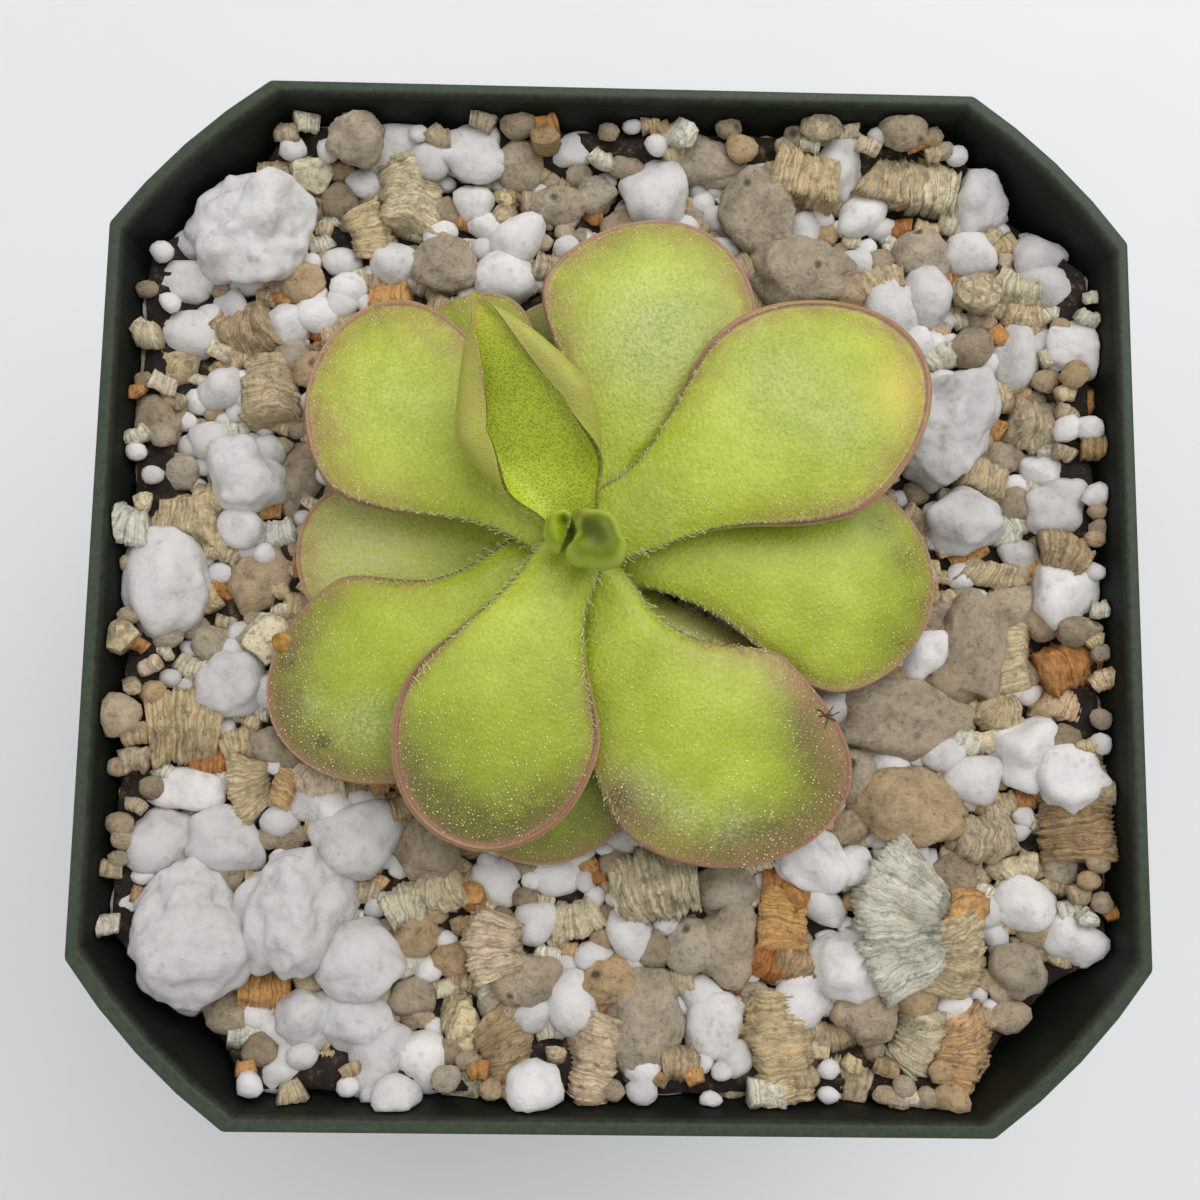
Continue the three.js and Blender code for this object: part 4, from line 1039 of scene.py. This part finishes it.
def gland_places(blade, cover, density, draw):
    """A matrix for each gland on the open part of a blade's upper face: its root, lean and
    size. Short ones stand all over, and long ones near the crown and along the margins there."""
    mesh = blade.data
    paints = {word: mesh.attributes[word].data for word in ("under", "fringe", "frost", "lip")}
    short, long = [], []
    for polygon in mesh.polygons:
        corners = polygon.vertices
        root_distance = (polygon.center / MM - CROWN).xy.length
        if root_distance < 1.2 or any(paints["under"][i].value > 0.05 for i in corners):
            continue
        near_crown = 1 - smooth((root_distance - 3) / 8)
        fringed = max(paints["fringe"][i].value for i in corners)
        # More glands where painted sheen is laid.
        sheen_share = 1 + 0.6 * max(paints["frost"][i].value for i in corners)
        wanted = polygon.area / MM**2 * density * (1.8 if fringed > 0.2 else sheen_share)
        for _ in range(int(wanted + next(draw))):
            a, b = next(draw), next(draw)
            start, end = (mesh.vertices[corners[i]].co for i in (0, 2 if len(corners) > 3 else 1))
            spot = start.lerp(end, a).lerp(mesh.vertices[corners[-1]].co, b * 0.5)
            outward = (spot - CROWN * MM) * Vector((1, 1, 0))
            lean = 0.9 * near_crown + 0.25
            sway = Vector((next(draw) - 0.5, next(draw) - 0.5, next(draw) - 0.5))
            stand = polygon.normal + outward.normalized() * lean + sway * 0.5
            size = (0.65 + 1.2 * next(draw) ** 5) * (1 if fringed > 0.15 else 0.85)
            hairy = fringed > 0.15 or next(draw) > 1 - 0.5 * near_crown
            if cover.ray_cast(spot + polygon.normal * 0.15 * MM, Vector((0, 0, 1)), 2 * MM)[0]:
                continue
            if not hairy and next(draw) < 0.85 * paints["lip"][corners[0]].value:
                continue
            place = Matrix.Translation(spot) @ standing(stand) @ Matrix.Scale(size, 4)
            (long if hairy else short).append(place)
    return short, long


def make_glands(name, blade, cover, settings, skins, seed):
    """The glands of one blade."""
    draw = draws_from(seed)
    short, long = gland_places(blade, cover, settings.gland_density, draw)
    drop = gland_mesh(0, 0, DROP * MM)
    hair = gland_mesh(settings.gland_length, HAIR * MM, HAIR_DROP * MM)
    bm = joined([copies(drop, short), copies(hair, long)])
    for mesh in (drop, hair):
        bpy.data.meshes.remove(mesh)
    return add_piece(name, bm, skins, flat=True)


# ---- growing mix ----


def ceiling_over(points, x, y, reach):
    """Lowest leaf underside over a disc."""
    limit = (reach + LEAF_SAMPLING) ** 2
    return min((p.z for p in points if (p.x - x) ** 2 + (p.y - y) ** 2 < limit), default=math.inf)


def seat_grain(grain, points):
    """Sinks a grain that would touch a leaf, and gives None for one that wouldn't show."""
    size = min(grain["width"], grain["depth"])
    ceiling = ceiling_over(points, grain["x"], grain["y"], max(grain["width"], grain["depth"]) / 2)
    top = min(MIX_LEVEL + PROUD * size, ceiling - LEAF_CLEARANCE)
    if top < MIX_LEVEL + LEAST_PROUD:
        return None
    height = size * (PROUD + SUNK)
    return {**grain, "size": size, "height": height, "z": top - height / 2}


def large_grains(points):
    grains = []
    for kind in KINDS:
        for x, y, width, depth, *look in LARGE_GRAINS[kind]:
            x = min(max(x, width * 0.4 - MIX_HALF), MIX_HALF - width * 0.4)
            y = min(max(y, depth * 0.4 - MIX_HALF), MIX_HALF - depth * 0.4)
            grain = {"kind": kind, "x": x, "y": y, "width": width, "depth": depth}
            grains.append(seat_grain({**grain, **dict(zip(("tone", "fan"), look))}, points))
    return [grain for grain in grains if grain]


def heaped(x, y):
    """How much higher the small grains lie beside a flat side of the pot."""
    return HEAP * smooth((max(abs(x), abs(y)) - MIX_HALF + 4) / 2.5)


def fill_grains(kept, points, kinds, seed, tries, smallest, largest, spacing):
    """Smaller grains dropped at random where no grain lies yet."""
    draw = draws_from(seed)
    grains = []
    for _ in range(tries):
        x = (next(draw) * 2 - 1) * MIX_HALF
        y = (next(draw) * 2 - 1) * MIX_HALF
        size = smallest + (largest - smallest) * next(draw) ** 2
        kind = kinds[int(next(draw) * len(kinds))]
        aspect = 0.75 + 0.25 * next(draw)
        if abs(x) + abs(y) > MIX_HALF * (1 + CREASE) - size / 2:
            continue
        if any(
            math.hypot(other["x"] - x, other["y"] - y)
            < spacing * (size + (other["width"] + other["depth"]) / 2)
            for other in kept + grains
        ):
            continue
        grain = seat_grain({"kind": kind, "x": x, "y": y, "width": size, "depth": size * aspect}, points)
        if grain:
            grains.append(grain)
    return grains


def all_grains(settings):
    points = undersides()
    large = large_grains(points)
    medium = fill_grains(
        large, points, KINDS, seed=2024, tries=3000, smallest=2.8, largest=5.2, spacing=0.4)
    small = fill_grains(
        large + medium, points, KINDS * 2 + KINDS[1:2], seed=settings.seed, tries=settings.small_tries,
        smallest=1.5, largest=4.2, spacing=0.29)
    for grain in small:
        room = MIX_TOP - grain["z"] - grain["height"] / 2
        grain["z"] += max(min(heaped(grain["x"], grain["y"]), room), 0)
    return large + medium + small


def random_direction(draw):
    height, turn = 2 * next(draw) - 1, 2 * math.pi * next(draw)
    flat = math.sqrt(1 - height**2)
    return Vector((flat * math.cos(turn), flat * math.sin(turn), height))


def set_in_place(bm, grain):
    """Sizes a grain's shape to its place in the mix and keeps it off the pot's wall."""
    low = [min(v.co[i] for v in bm.verts) for i in range(3)]
    high = [max(v.co[i] for v in bm.verts) for i in range(3)]
    size = (grain["width"] * PLUMP, grain["depth"] * PLUMP, grain["height"])
    for vert in bm.verts:
        vert.co = Vector(
            ((vert.co[i] - (low[i] + high[i]) / 2) / (high[i] - low[i]) * size[i] for i in range(3)))
        vert.co += Vector((grain["x"], grain["y"], grain["z"]))
        vert.co = kept_inside(vert.co, GRAIN_GAP) * MM


def set_tone(bm, tone):
    layer = bm.verts.layers.float.new("tone")
    for vert in bm.verts:
        vert[layer] = tone


def pebble_detail(grain):
    """Subdivisions of a pebble, by its size."""
    return 2 + sum(grain["size"] > size for size in (2.4, 4, 7.5))


def chipped_ball(grain, draw, reach_to, flats, lumps, softness):
    """A grain from a ball that reaches so far in each direction, broken flat in places, lumpy and
    worn. flats: how many, the nearest one and how much further out others may be. lumps: their
    height, how many there are to a turn, and the settings of the noise."""
    bm = bmesh.new()
    ball = bmesh.ops.create_icosphere(bm, subdivisions=pebble_detail(grain), radius=1)["verts"]
    count, nearest, spread = flats
    cuts = [(random_direction(draw), nearest + spread * next(draw)) for _ in range(count)]
    drift = random_direction(draw) * 40
    height, closeness, *pattern = lumps
    for vert in ball:
        ray = vert.co.normalized()
        reach = reach_to(ray)
        for flat, distance in cuts:
            if flat.dot(ray) > 0.1:
                reach = min(reach, distance / flat.dot(ray))
        vert.co = ray * reach * (1 + height * noise.fractal(ray * closeness + drift, *pattern))
    soften(bm, softness)
    set_in_place(bm, grain)
    set_tone(bm, grain.get("tone", next(draw)))
    return bm


def perlite_grain(grain, draw):
    """A puffed grain: a cluster of lobes grown together, broken flat here and there."""
    lobes = [(random_direction(draw) * (0.25 + 0.4 * next(draw)), 0.42 + 0.2 * next(draw)) for _ in range(6)]

    def grown_together(ray):
        reaches = [0.62]
        for centre, radius in lobes:
            clear = radius**2 - centre.length_squared + centre.dot(ray) ** 2
            if clear > 0:
                reaches.append(centre.dot(ray) + math.sqrt(clear))
        return math.log(sum(math.exp(12 * r) for r in reaches)) / 12

    return chipped_ball(grain, draw, grown_together, (8, 0.58, 0.3), (0.15, 2.2, 0.8, 2.1, 4), 0.5)


def clay_pebble(grain, draw):
    """A tumbled pebble: flats worn round, chipped and cratered."""
    return chipped_ball(grain, draw, lambda ray: 1.0, (9, 0.68, 0.24), (0.18, 1.8, 0.6, 2.3, 6), 0.3)


def vermiculite_flake(grain, draw):
    """A block of thin sheets with a broken outline, bent or fanned like a book and torn where
    single sheets stop short."""
    medium, large = grain["size"] > 2.8, grain["size"] > 4.4
    sides = (9, 18, 30)[medium + large]
    length = max(grain["width"], grain["depth"])
    sheets = max(3, round(length / (0.3 if medium else 0.6)))
    bm = bmesh.new()
    bmesh.ops.create_cone(bm, cap_ends=True, segments=sides, radius1=1, radius2=1, depth=2)
    upright = [edge for edge in bm.edges if abs(edge.verts[0].co.z - edge.verts[1].co.z) > 1]
    bmesh.ops.subdivide_edges(bm, edges=upright, cuts=2 * sheets - 2)
    breaks = [(2 * math.pi * (i + 0.8 * next(draw)) / 5, 0.6 + 0.25 * next(draw)) for i in range(5)]
    slips = [(next(draw) - 0.5, next(draw) - 0.5, 1 - 0.09 * next(draw) ** 2) for _ in range(sheets)]
    fan = grain.get("fan", next(draw) * 1.1 - 0.55) or 0.01
    drift = next(draw) * 50
    along = Vector((drift, 0, 0))
    layer = bm.verts.layers.float.new("sheet")
    for vert in bm.verts:
        ring = round((vert.co.z + 1) / 2 * (2 * sheets - 1))
        sheet = ring // 2
        slip_x, slip_y, spread = slips[sheet]
        turn = math.atan2(vert.co.y, vert.co.x)
        facing = [distance / math.cos(turn - at) for at, distance in breaks if math.cos(turn - at) > 0.3]
        torn = noise.noise(Vector((math.cos(turn), math.sin(turn), sheet * 0.3)) * 1.8 + along)
        spread *= min([1.0, *facing]) * (1 + 0.16 * torn) * (0.93 if ring % 2 else 1)
        across_sheet = vert.co.x * spread + slip_x * 0.03
        swing, arm = fan * vert.co.z, 1 / fan - across_sheet
        vert[layer] = vert.co.z * length / 2 + drift
        sideways = vert.co.y * spread + slip_y * 0.03
        vert.co = Vector((1 / fan - arm * math.cos(swing), sideways, arm * math.sin(swing)))
    lying = Matrix.Rotation(math.pi / 2, 4, "Y" if grain["width"] >= grain["depth"] else "X")
    if next(draw) < 0.12 and "fan" not in grain:
        lying = Matrix.Identity(4)
    for vert in bm.verts:
        vert.co += noise.noise_vector(vert.co * 2.6 + along) * 0.09
    unsteady = 0.3 if "fan" in grain else 0.8
    sway = Euler([(next(draw) - 0.5) * unsteady for _ in range(3)]).to_matrix().to_4x4()
    # The bend of a stack lies level, so that it shows from above.
    level = 0 if grain["width"] < grain["depth"] else math.pi / 2
    roll = Matrix.Rotation(level + (next(draw) - 0.5) * 0.8, 4, "Z")
    bmesh.ops.transform(bm, matrix=sway @ lying @ roll, verts=bm.verts)
    set_in_place(bm, grain)
    set_tone(bm, grain.get("tone", next(draw)))
    return bm


GRAIN_MAKERS = {"perlite": perlite_grain, "vermiculite": vermiculite_flake, "clay": clay_pebble}


def make_grains(grains, kind, material):
    """Every grain of one kind."""
    noise.seed_set(NOISE_SEED)
    parts = []
    for index, grain in enumerate(grains):
        if grain["kind"] == kind:
            draw = draws_from(index * 7919 + 11)
            next(draw)
            parts.append(GRAIN_MAKERS[kind](grain, draw))
    return add_piece(kind + "_grains", joined(parts), [material], ["growing_mix"])


def octagon_share(x, y):
    """How much a point of a square is drawn in so that the square's corners are cut."""
    longer, shorter = max(abs(x), abs(y)), min(abs(x), abs(y))
    return min(1, (1 + CREASE) / (1 + shorter / longer)) if longer > 0 else 1


def make_bed(settings):
    """The fines that fill the pot between the grains, down to its floor."""
    bm = bmesh.new()
    top = bmesh.ops.create_grid(bm, x_segments=90, y_segments=90, size=1)["verts"]
    half = inner_half(MIX_LEVEL) - FINES_GAP
    for vert in top:
        x, y = vert.co.x, vert.co.y
        share = octagon_share(x, y) * half
        crumbs = 0.5 * noise.fractal(Vector((x, y, 0)) * 14, 0.8, 2.1, 4)
        spot = Vector((x * share, y * share, MIX_LEVEL + crumbs))
        spot.z -= 4 * (1 - smooth(((spot - CROWN).xy.length - HOLE) / 0.8))
        spot.z += 0.8 * heaped(spot.x, spot.y)
        vert.co = spot * MM
    edges = [item for item in bm.edges if item.is_boundary]
    for z in (STEP_HIGH, STEP_LOW, POT_FLOOR + 0.3):
        narrower = inner_half(z) - FINES_GAP
        grown = bmesh.ops.extrude_edge_only(bm, edges=edges)["geom"]
        for vert in verts_in(grown):
            vert.co = Vector((vert.co.x * narrower / half, vert.co.y * narrower / half, z * MM))
        edges = [item for item in grown if isinstance(item, bmesh.types.BMEdge) and item.is_boundary]
        half = narrower
    bmesh.ops.contextual_create(bm, geom=edges)
    bmesh.ops.recalc_face_normals(bm, faces=bm.faces)
    return add_piece("mix_fines", bm, [damp_fines(settings)], ["growing_mix"])


# ---- marks on the leaves ----


def upper_spot(name, v, u):
    """A point on a leaf's upper face and the direction out of the leaf there."""
    middle, half, _, _, _ = blade_reader({**LEAF, **LEAVES[name]})(v, u)
    return middle + half, half.normalized()


def make_scale_insect():
    """A flat amber shell on the margin of an older leaf."""
    spot, out = upper_spot("leaf_06", v=1.46, u=-0.91)
    bm = bmesh.new()
    bmesh.ops.create_icosphere(bm, subdivisions=3, radius=1)
    for vert in bm.verts:
        swell = 1 + 0.08 * noise.noise(vert.co * 2.3)
        vert.co = Vector((vert.co.x * 0.95, vert.co.y * 0.75, max(vert.co.z, -0.2) * 0.35)) * swell
    place = Matrix.Scale(MM, 4) @ Matrix.Translation(spot) @ standing(out)
    bmesh.ops.transform(bm, matrix=place, verts=bm.verts)
    return add_piece("amber_shell", bm, [amber_scale()])


# Threads stuck to a leaf, each as points in millimetres across and along from one spot.
THREADS = [
    [(-1.0, 0.5), (-0.4, 0.25), (0.1, 0.3), (0.7, 0.1)],
    [(-0.5, 0.9), (-0.15, 0.4), (0.0, -0.2), (0.35, -1.0)],
    [(-0.7, -0.1), (0.0, 0.15), (0.5, 0.6), (0.8, 0.65)],
]


def make_threads():
    """A few dry threads caught near the margin of a broad leaf."""
    spot, out = upper_spot("leaf_04", v=1.38, u=0.86)
    across_leaf = out.cross(Vector((0, 1, 0))).normalized()
    along_leaf = across_leaf.cross(out)
    parts = []
    for thread in THREADS:
        bm = bmesh.new()
        ring = bmesh.ops.create_circle(bm, segments=5, radius=0.045)["verts"]
        points = [spot + across_leaf * x + along_leaf * y + out * 0.1 for x, y in thread]
        faces_to = [standing(b - a) for a, b in zip(points, points[1:])]
        faces_to.append(faces_to[-1])
        bmesh.ops.transform(bm, matrix=Matrix.Translation(points[0]) @ faces_to[0], verts=ring)
        bmesh.ops.contextual_create(bm, geom=ring)
        for i in range(1, len(points)):
            edges = [edge for edge in bm.edges if all(vert in ring for vert in edge.verts)]
            grown = bmesh.ops.extrude_edge_only(bm, edges=edges)["geom"]
            ring = verts_in(grown)
            back = Matrix.Translation(points[i - 1]) @ faces_to[i - 1]
            bmesh.ops.transform(
                bm, matrix=Matrix.Translation(points[i]) @ faces_to[i] @ back.inverted(), verts=ring)
        bmesh.ops.contextual_create(bm, geom=ring)
        bmesh.ops.recalc_face_normals(bm, faces=bm.faces)
        bmesh.ops.scale(bm, vec=(MM, MM, MM), verts=bm.verts)
        parts.append(bm)
    return add_piece("dry_threads", joined(parts), [dry_thread()])


# ---- studio ----


def add_light(name, place, size, power, colour=(1, 1, 1)):
    """A square soft light that faces the pot."""
    light = bpy.data.lights.new(name, "AREA")
    light.size, light.energy, light.color = size, power, colour
    lamp = bpy.data.objects.new(name, light)
    lamp.location = place
    lamp.rotation_euler = (Vector((0, 0, 0.06)) - Vector(place)).to_track_quat("-Z", "Y").to_euler()
    bpy.context.scene.collection.objects.link(lamp)


def make_stage(settings):
    """Table, lights and camera."""
    scene = bpy.context.scene
    bm = bmesh.new()
    bmesh.ops.create_grid(bm, x_segments=1, y_segments=1, size=1.5)
    mesh = bpy.data.meshes.new("table")
    bm.to_mesh(mesh)
    bm.free()
    mesh.materials.append(matt_card(settings))
    table = bpy.data.objects.new("table", mesh)
    scene.collection.objects.link(table)
    add_light("window", (0.15, 0.23, 0.46), 0.5, settings.power)
    add_light("fill", (-0.35, -0.1, 0.5), 0.6, settings.power * 0.25)
    world = bpy.data.worlds.new("studio")
    world.use_nodes = True
    world.node_tree.nodes["Background"].inputs["Color"].default_value = rgba("#F2F4F6")
    world.node_tree.nodes["Background"].inputs["Strength"].default_value = 0.55
    scene.world = world
    scene.view_settings.view_transform = "Standard"
    camera = bpy.data.cameras.new("camera")
    camera.lens, camera.sensor_width = 36, 36
    camera.clip_start, camera.clip_end = 0.005, 10
    holder = bpy.data.objects.new("camera", camera)
    holder.location = settings.camera_place
    holder.rotation_euler = settings.camera_turn
    scene.collection.objects.link(holder)
    scene.camera = holder


# ---- operators ----


class BUTTERWORT_OT_stage(Operator):
    """Lay the table, hang the lights and place the camera"""

    bl_idname = "butterwort.stage"
    bl_label = "Studio"

    def execute(self, context):
        make_stage(context.scene.butterwort_studio)
        return {"FINISHED"}


class BUTTERWORT_OT_pot(Operator):
    """Mould the square pot"""

    bl_idname = "butterwort.pot"
    bl_label = "Pot"

    def execute(self, context):
        make_pot(context.scene.butterwort_pot)
        return {"FINISHED"}


class BUTTERWORT_OT_mix(Operator):
    """Fill the pot with fines, perlite, vermiculite and clay"""

    bl_idname = "butterwort.mix"
    bl_label = "Growing mix"

    def execute(self, context):
        settings = context.scene.butterwort_mix
        make_bed(settings)
        grains = all_grains(settings)
        make_grains(grains, "perlite", expanded_perlite(settings))
        make_grains(grains, "vermiculite", exfoliated_vermiculite(settings))
        make_grains(grains, "clay", fired_clay(settings))
        return {"FINISHED"}


class BUTTERWORT_OT_stem(Operator):
    """Turn the short stem"""

    bl_idname = "butterwort.stem"
    bl_label = "Stem"

    def execute(self, context):
        make_stem(context.scene.butterwort_leaf)
        return {"FINISHED"}


class BUTTERWORT_OT_leaves(Operator):
    """Grow the grown leaves"""

    bl_idname = "butterwort.leaves"
    bl_label = "Leaves"

    def execute(self, context):
        settings = context.scene.butterwort_leaf
        skin = leaf_skin(settings, "leaf_skin")
        for name, shape in LEAVES.items():
            blade = blade_mesh({**LEAF, **shape}, columns=48, rows=66)
            add_piece(name + "_blade", blade, [skin], [name])
        return {"FINISHED"}


class BUTTERWORT_OT_crown(Operator):
    """Grow the rolled young leaf and the two buds"""

    bl_idname = "butterwort.crown"
    bl_label = "Young leaf and buds"

    def execute(self, context):
        settings = context.scene.butterwort_leaf
        skin = leaf_skin(settings, "young_skin", pitted=True)
        young = blade_mesh({**LEAF, **YOUNG_LEAF}, columns=60, rows=66)
        add_piece("young_leaf_blade", young, [skin], ["young_leaf"])
        folded = bud_skin(settings)
        for name, shape in BUDS.items():
            make_bud(name, shape, folded)
        return {"FINISHED"}


class BUTTERWORT_OT_glands(Operator):
    """Set the sticky glands on every leaf"""

    bl_idname = "butterwort.glands"
    bl_label = "Glands"

    def execute(self, context):
        settings = context.scene.butterwort_leaf
        skins = [gland_stalk(), sticky_droplet()]
        names = ["young_leaf", *LEAVES]
        blades = [bpy.data.objects[name + "_blade"] for name in names]
        cover = cover_of(blades + [bpy.data.objects[name + "_leaf"] for name in BUDS])
        for number, (name, blade) in enumerate(zip(names, blades)):
            make_glands(name + "_glands", blade, cover, settings, skins, seed=301 + number)
        return {"FINISHED"}


class BUTTERWORT_OT_marks(Operator):
    """Add the amber shell and the dry threads on the leaves"""

    bl_idname = "butterwort.marks"
    bl_label = "Marks on the leaves"

    def execute(self, context):
        make_scale_insect()
        make_threads()
        return {"FINISHED"}


class BUTTERWORT_PT_panel(Panel):
    """Sizes, colours and steps of the potted butterwort"""

    bl_idname = "BUTTERWORT_PT_panel"
    bl_label = "Potted butterwort"
    bl_space_type = "VIEW_3D"
    bl_region_type = "UI"
    bl_category = "Butterwort"

    def draw(self, context):
        for group, settings in GROUPS.items():
            box = self.layout.box()
            owner = getattr(context.scene, group)
            for name in settings.__annotations__:
                box.prop(owner, name)
        for step in STEPS:
            self.layout.operator(step.bl_idname)


GROUPS = {
    "butterwort_pot": PotSettings,
    "butterwort_mix": MixSettings,
    "butterwort_leaf": LeafSettings,
    "butterwort_studio": StudioSettings,
}
STEPS = (
    BUTTERWORT_OT_stage,
    BUTTERWORT_OT_pot,
    BUTTERWORT_OT_mix,
    BUTTERWORT_OT_stem,
    BUTTERWORT_OT_leaves,
    BUTTERWORT_OT_crown,
    BUTTERWORT_OT_glands,
    BUTTERWORT_OT_marks,
)


def register():
    for item in (*GROUPS.values(), *STEPS, BUTTERWORT_PT_panel):
        bpy.utils.register_class(item)
    for group, settings in GROUPS.items():
        setattr(bpy.types.Scene, group, PointerProperty(type=settings))


def unregister():
    for group in GROUPS:
        delattr(bpy.types.Scene, group)
    for item in (BUTTERWORT_PT_panel, *STEPS[::-1], *reversed(GROUPS.values())):
        bpy.utils.unregister_class(item)


def main():
    register()
    bpy.ops.butterwort.stage()
    bpy.ops.butterwort.pot()
    bpy.ops.butterwort.mix()
    bpy.ops.butterwort.stem()
    bpy.ops.butterwort.leaves()
    bpy.ops.butterwort.crown()
    bpy.ops.butterwort.glands()
    bpy.ops.butterwort.marks()


if __name__ == "__main__":
    main()
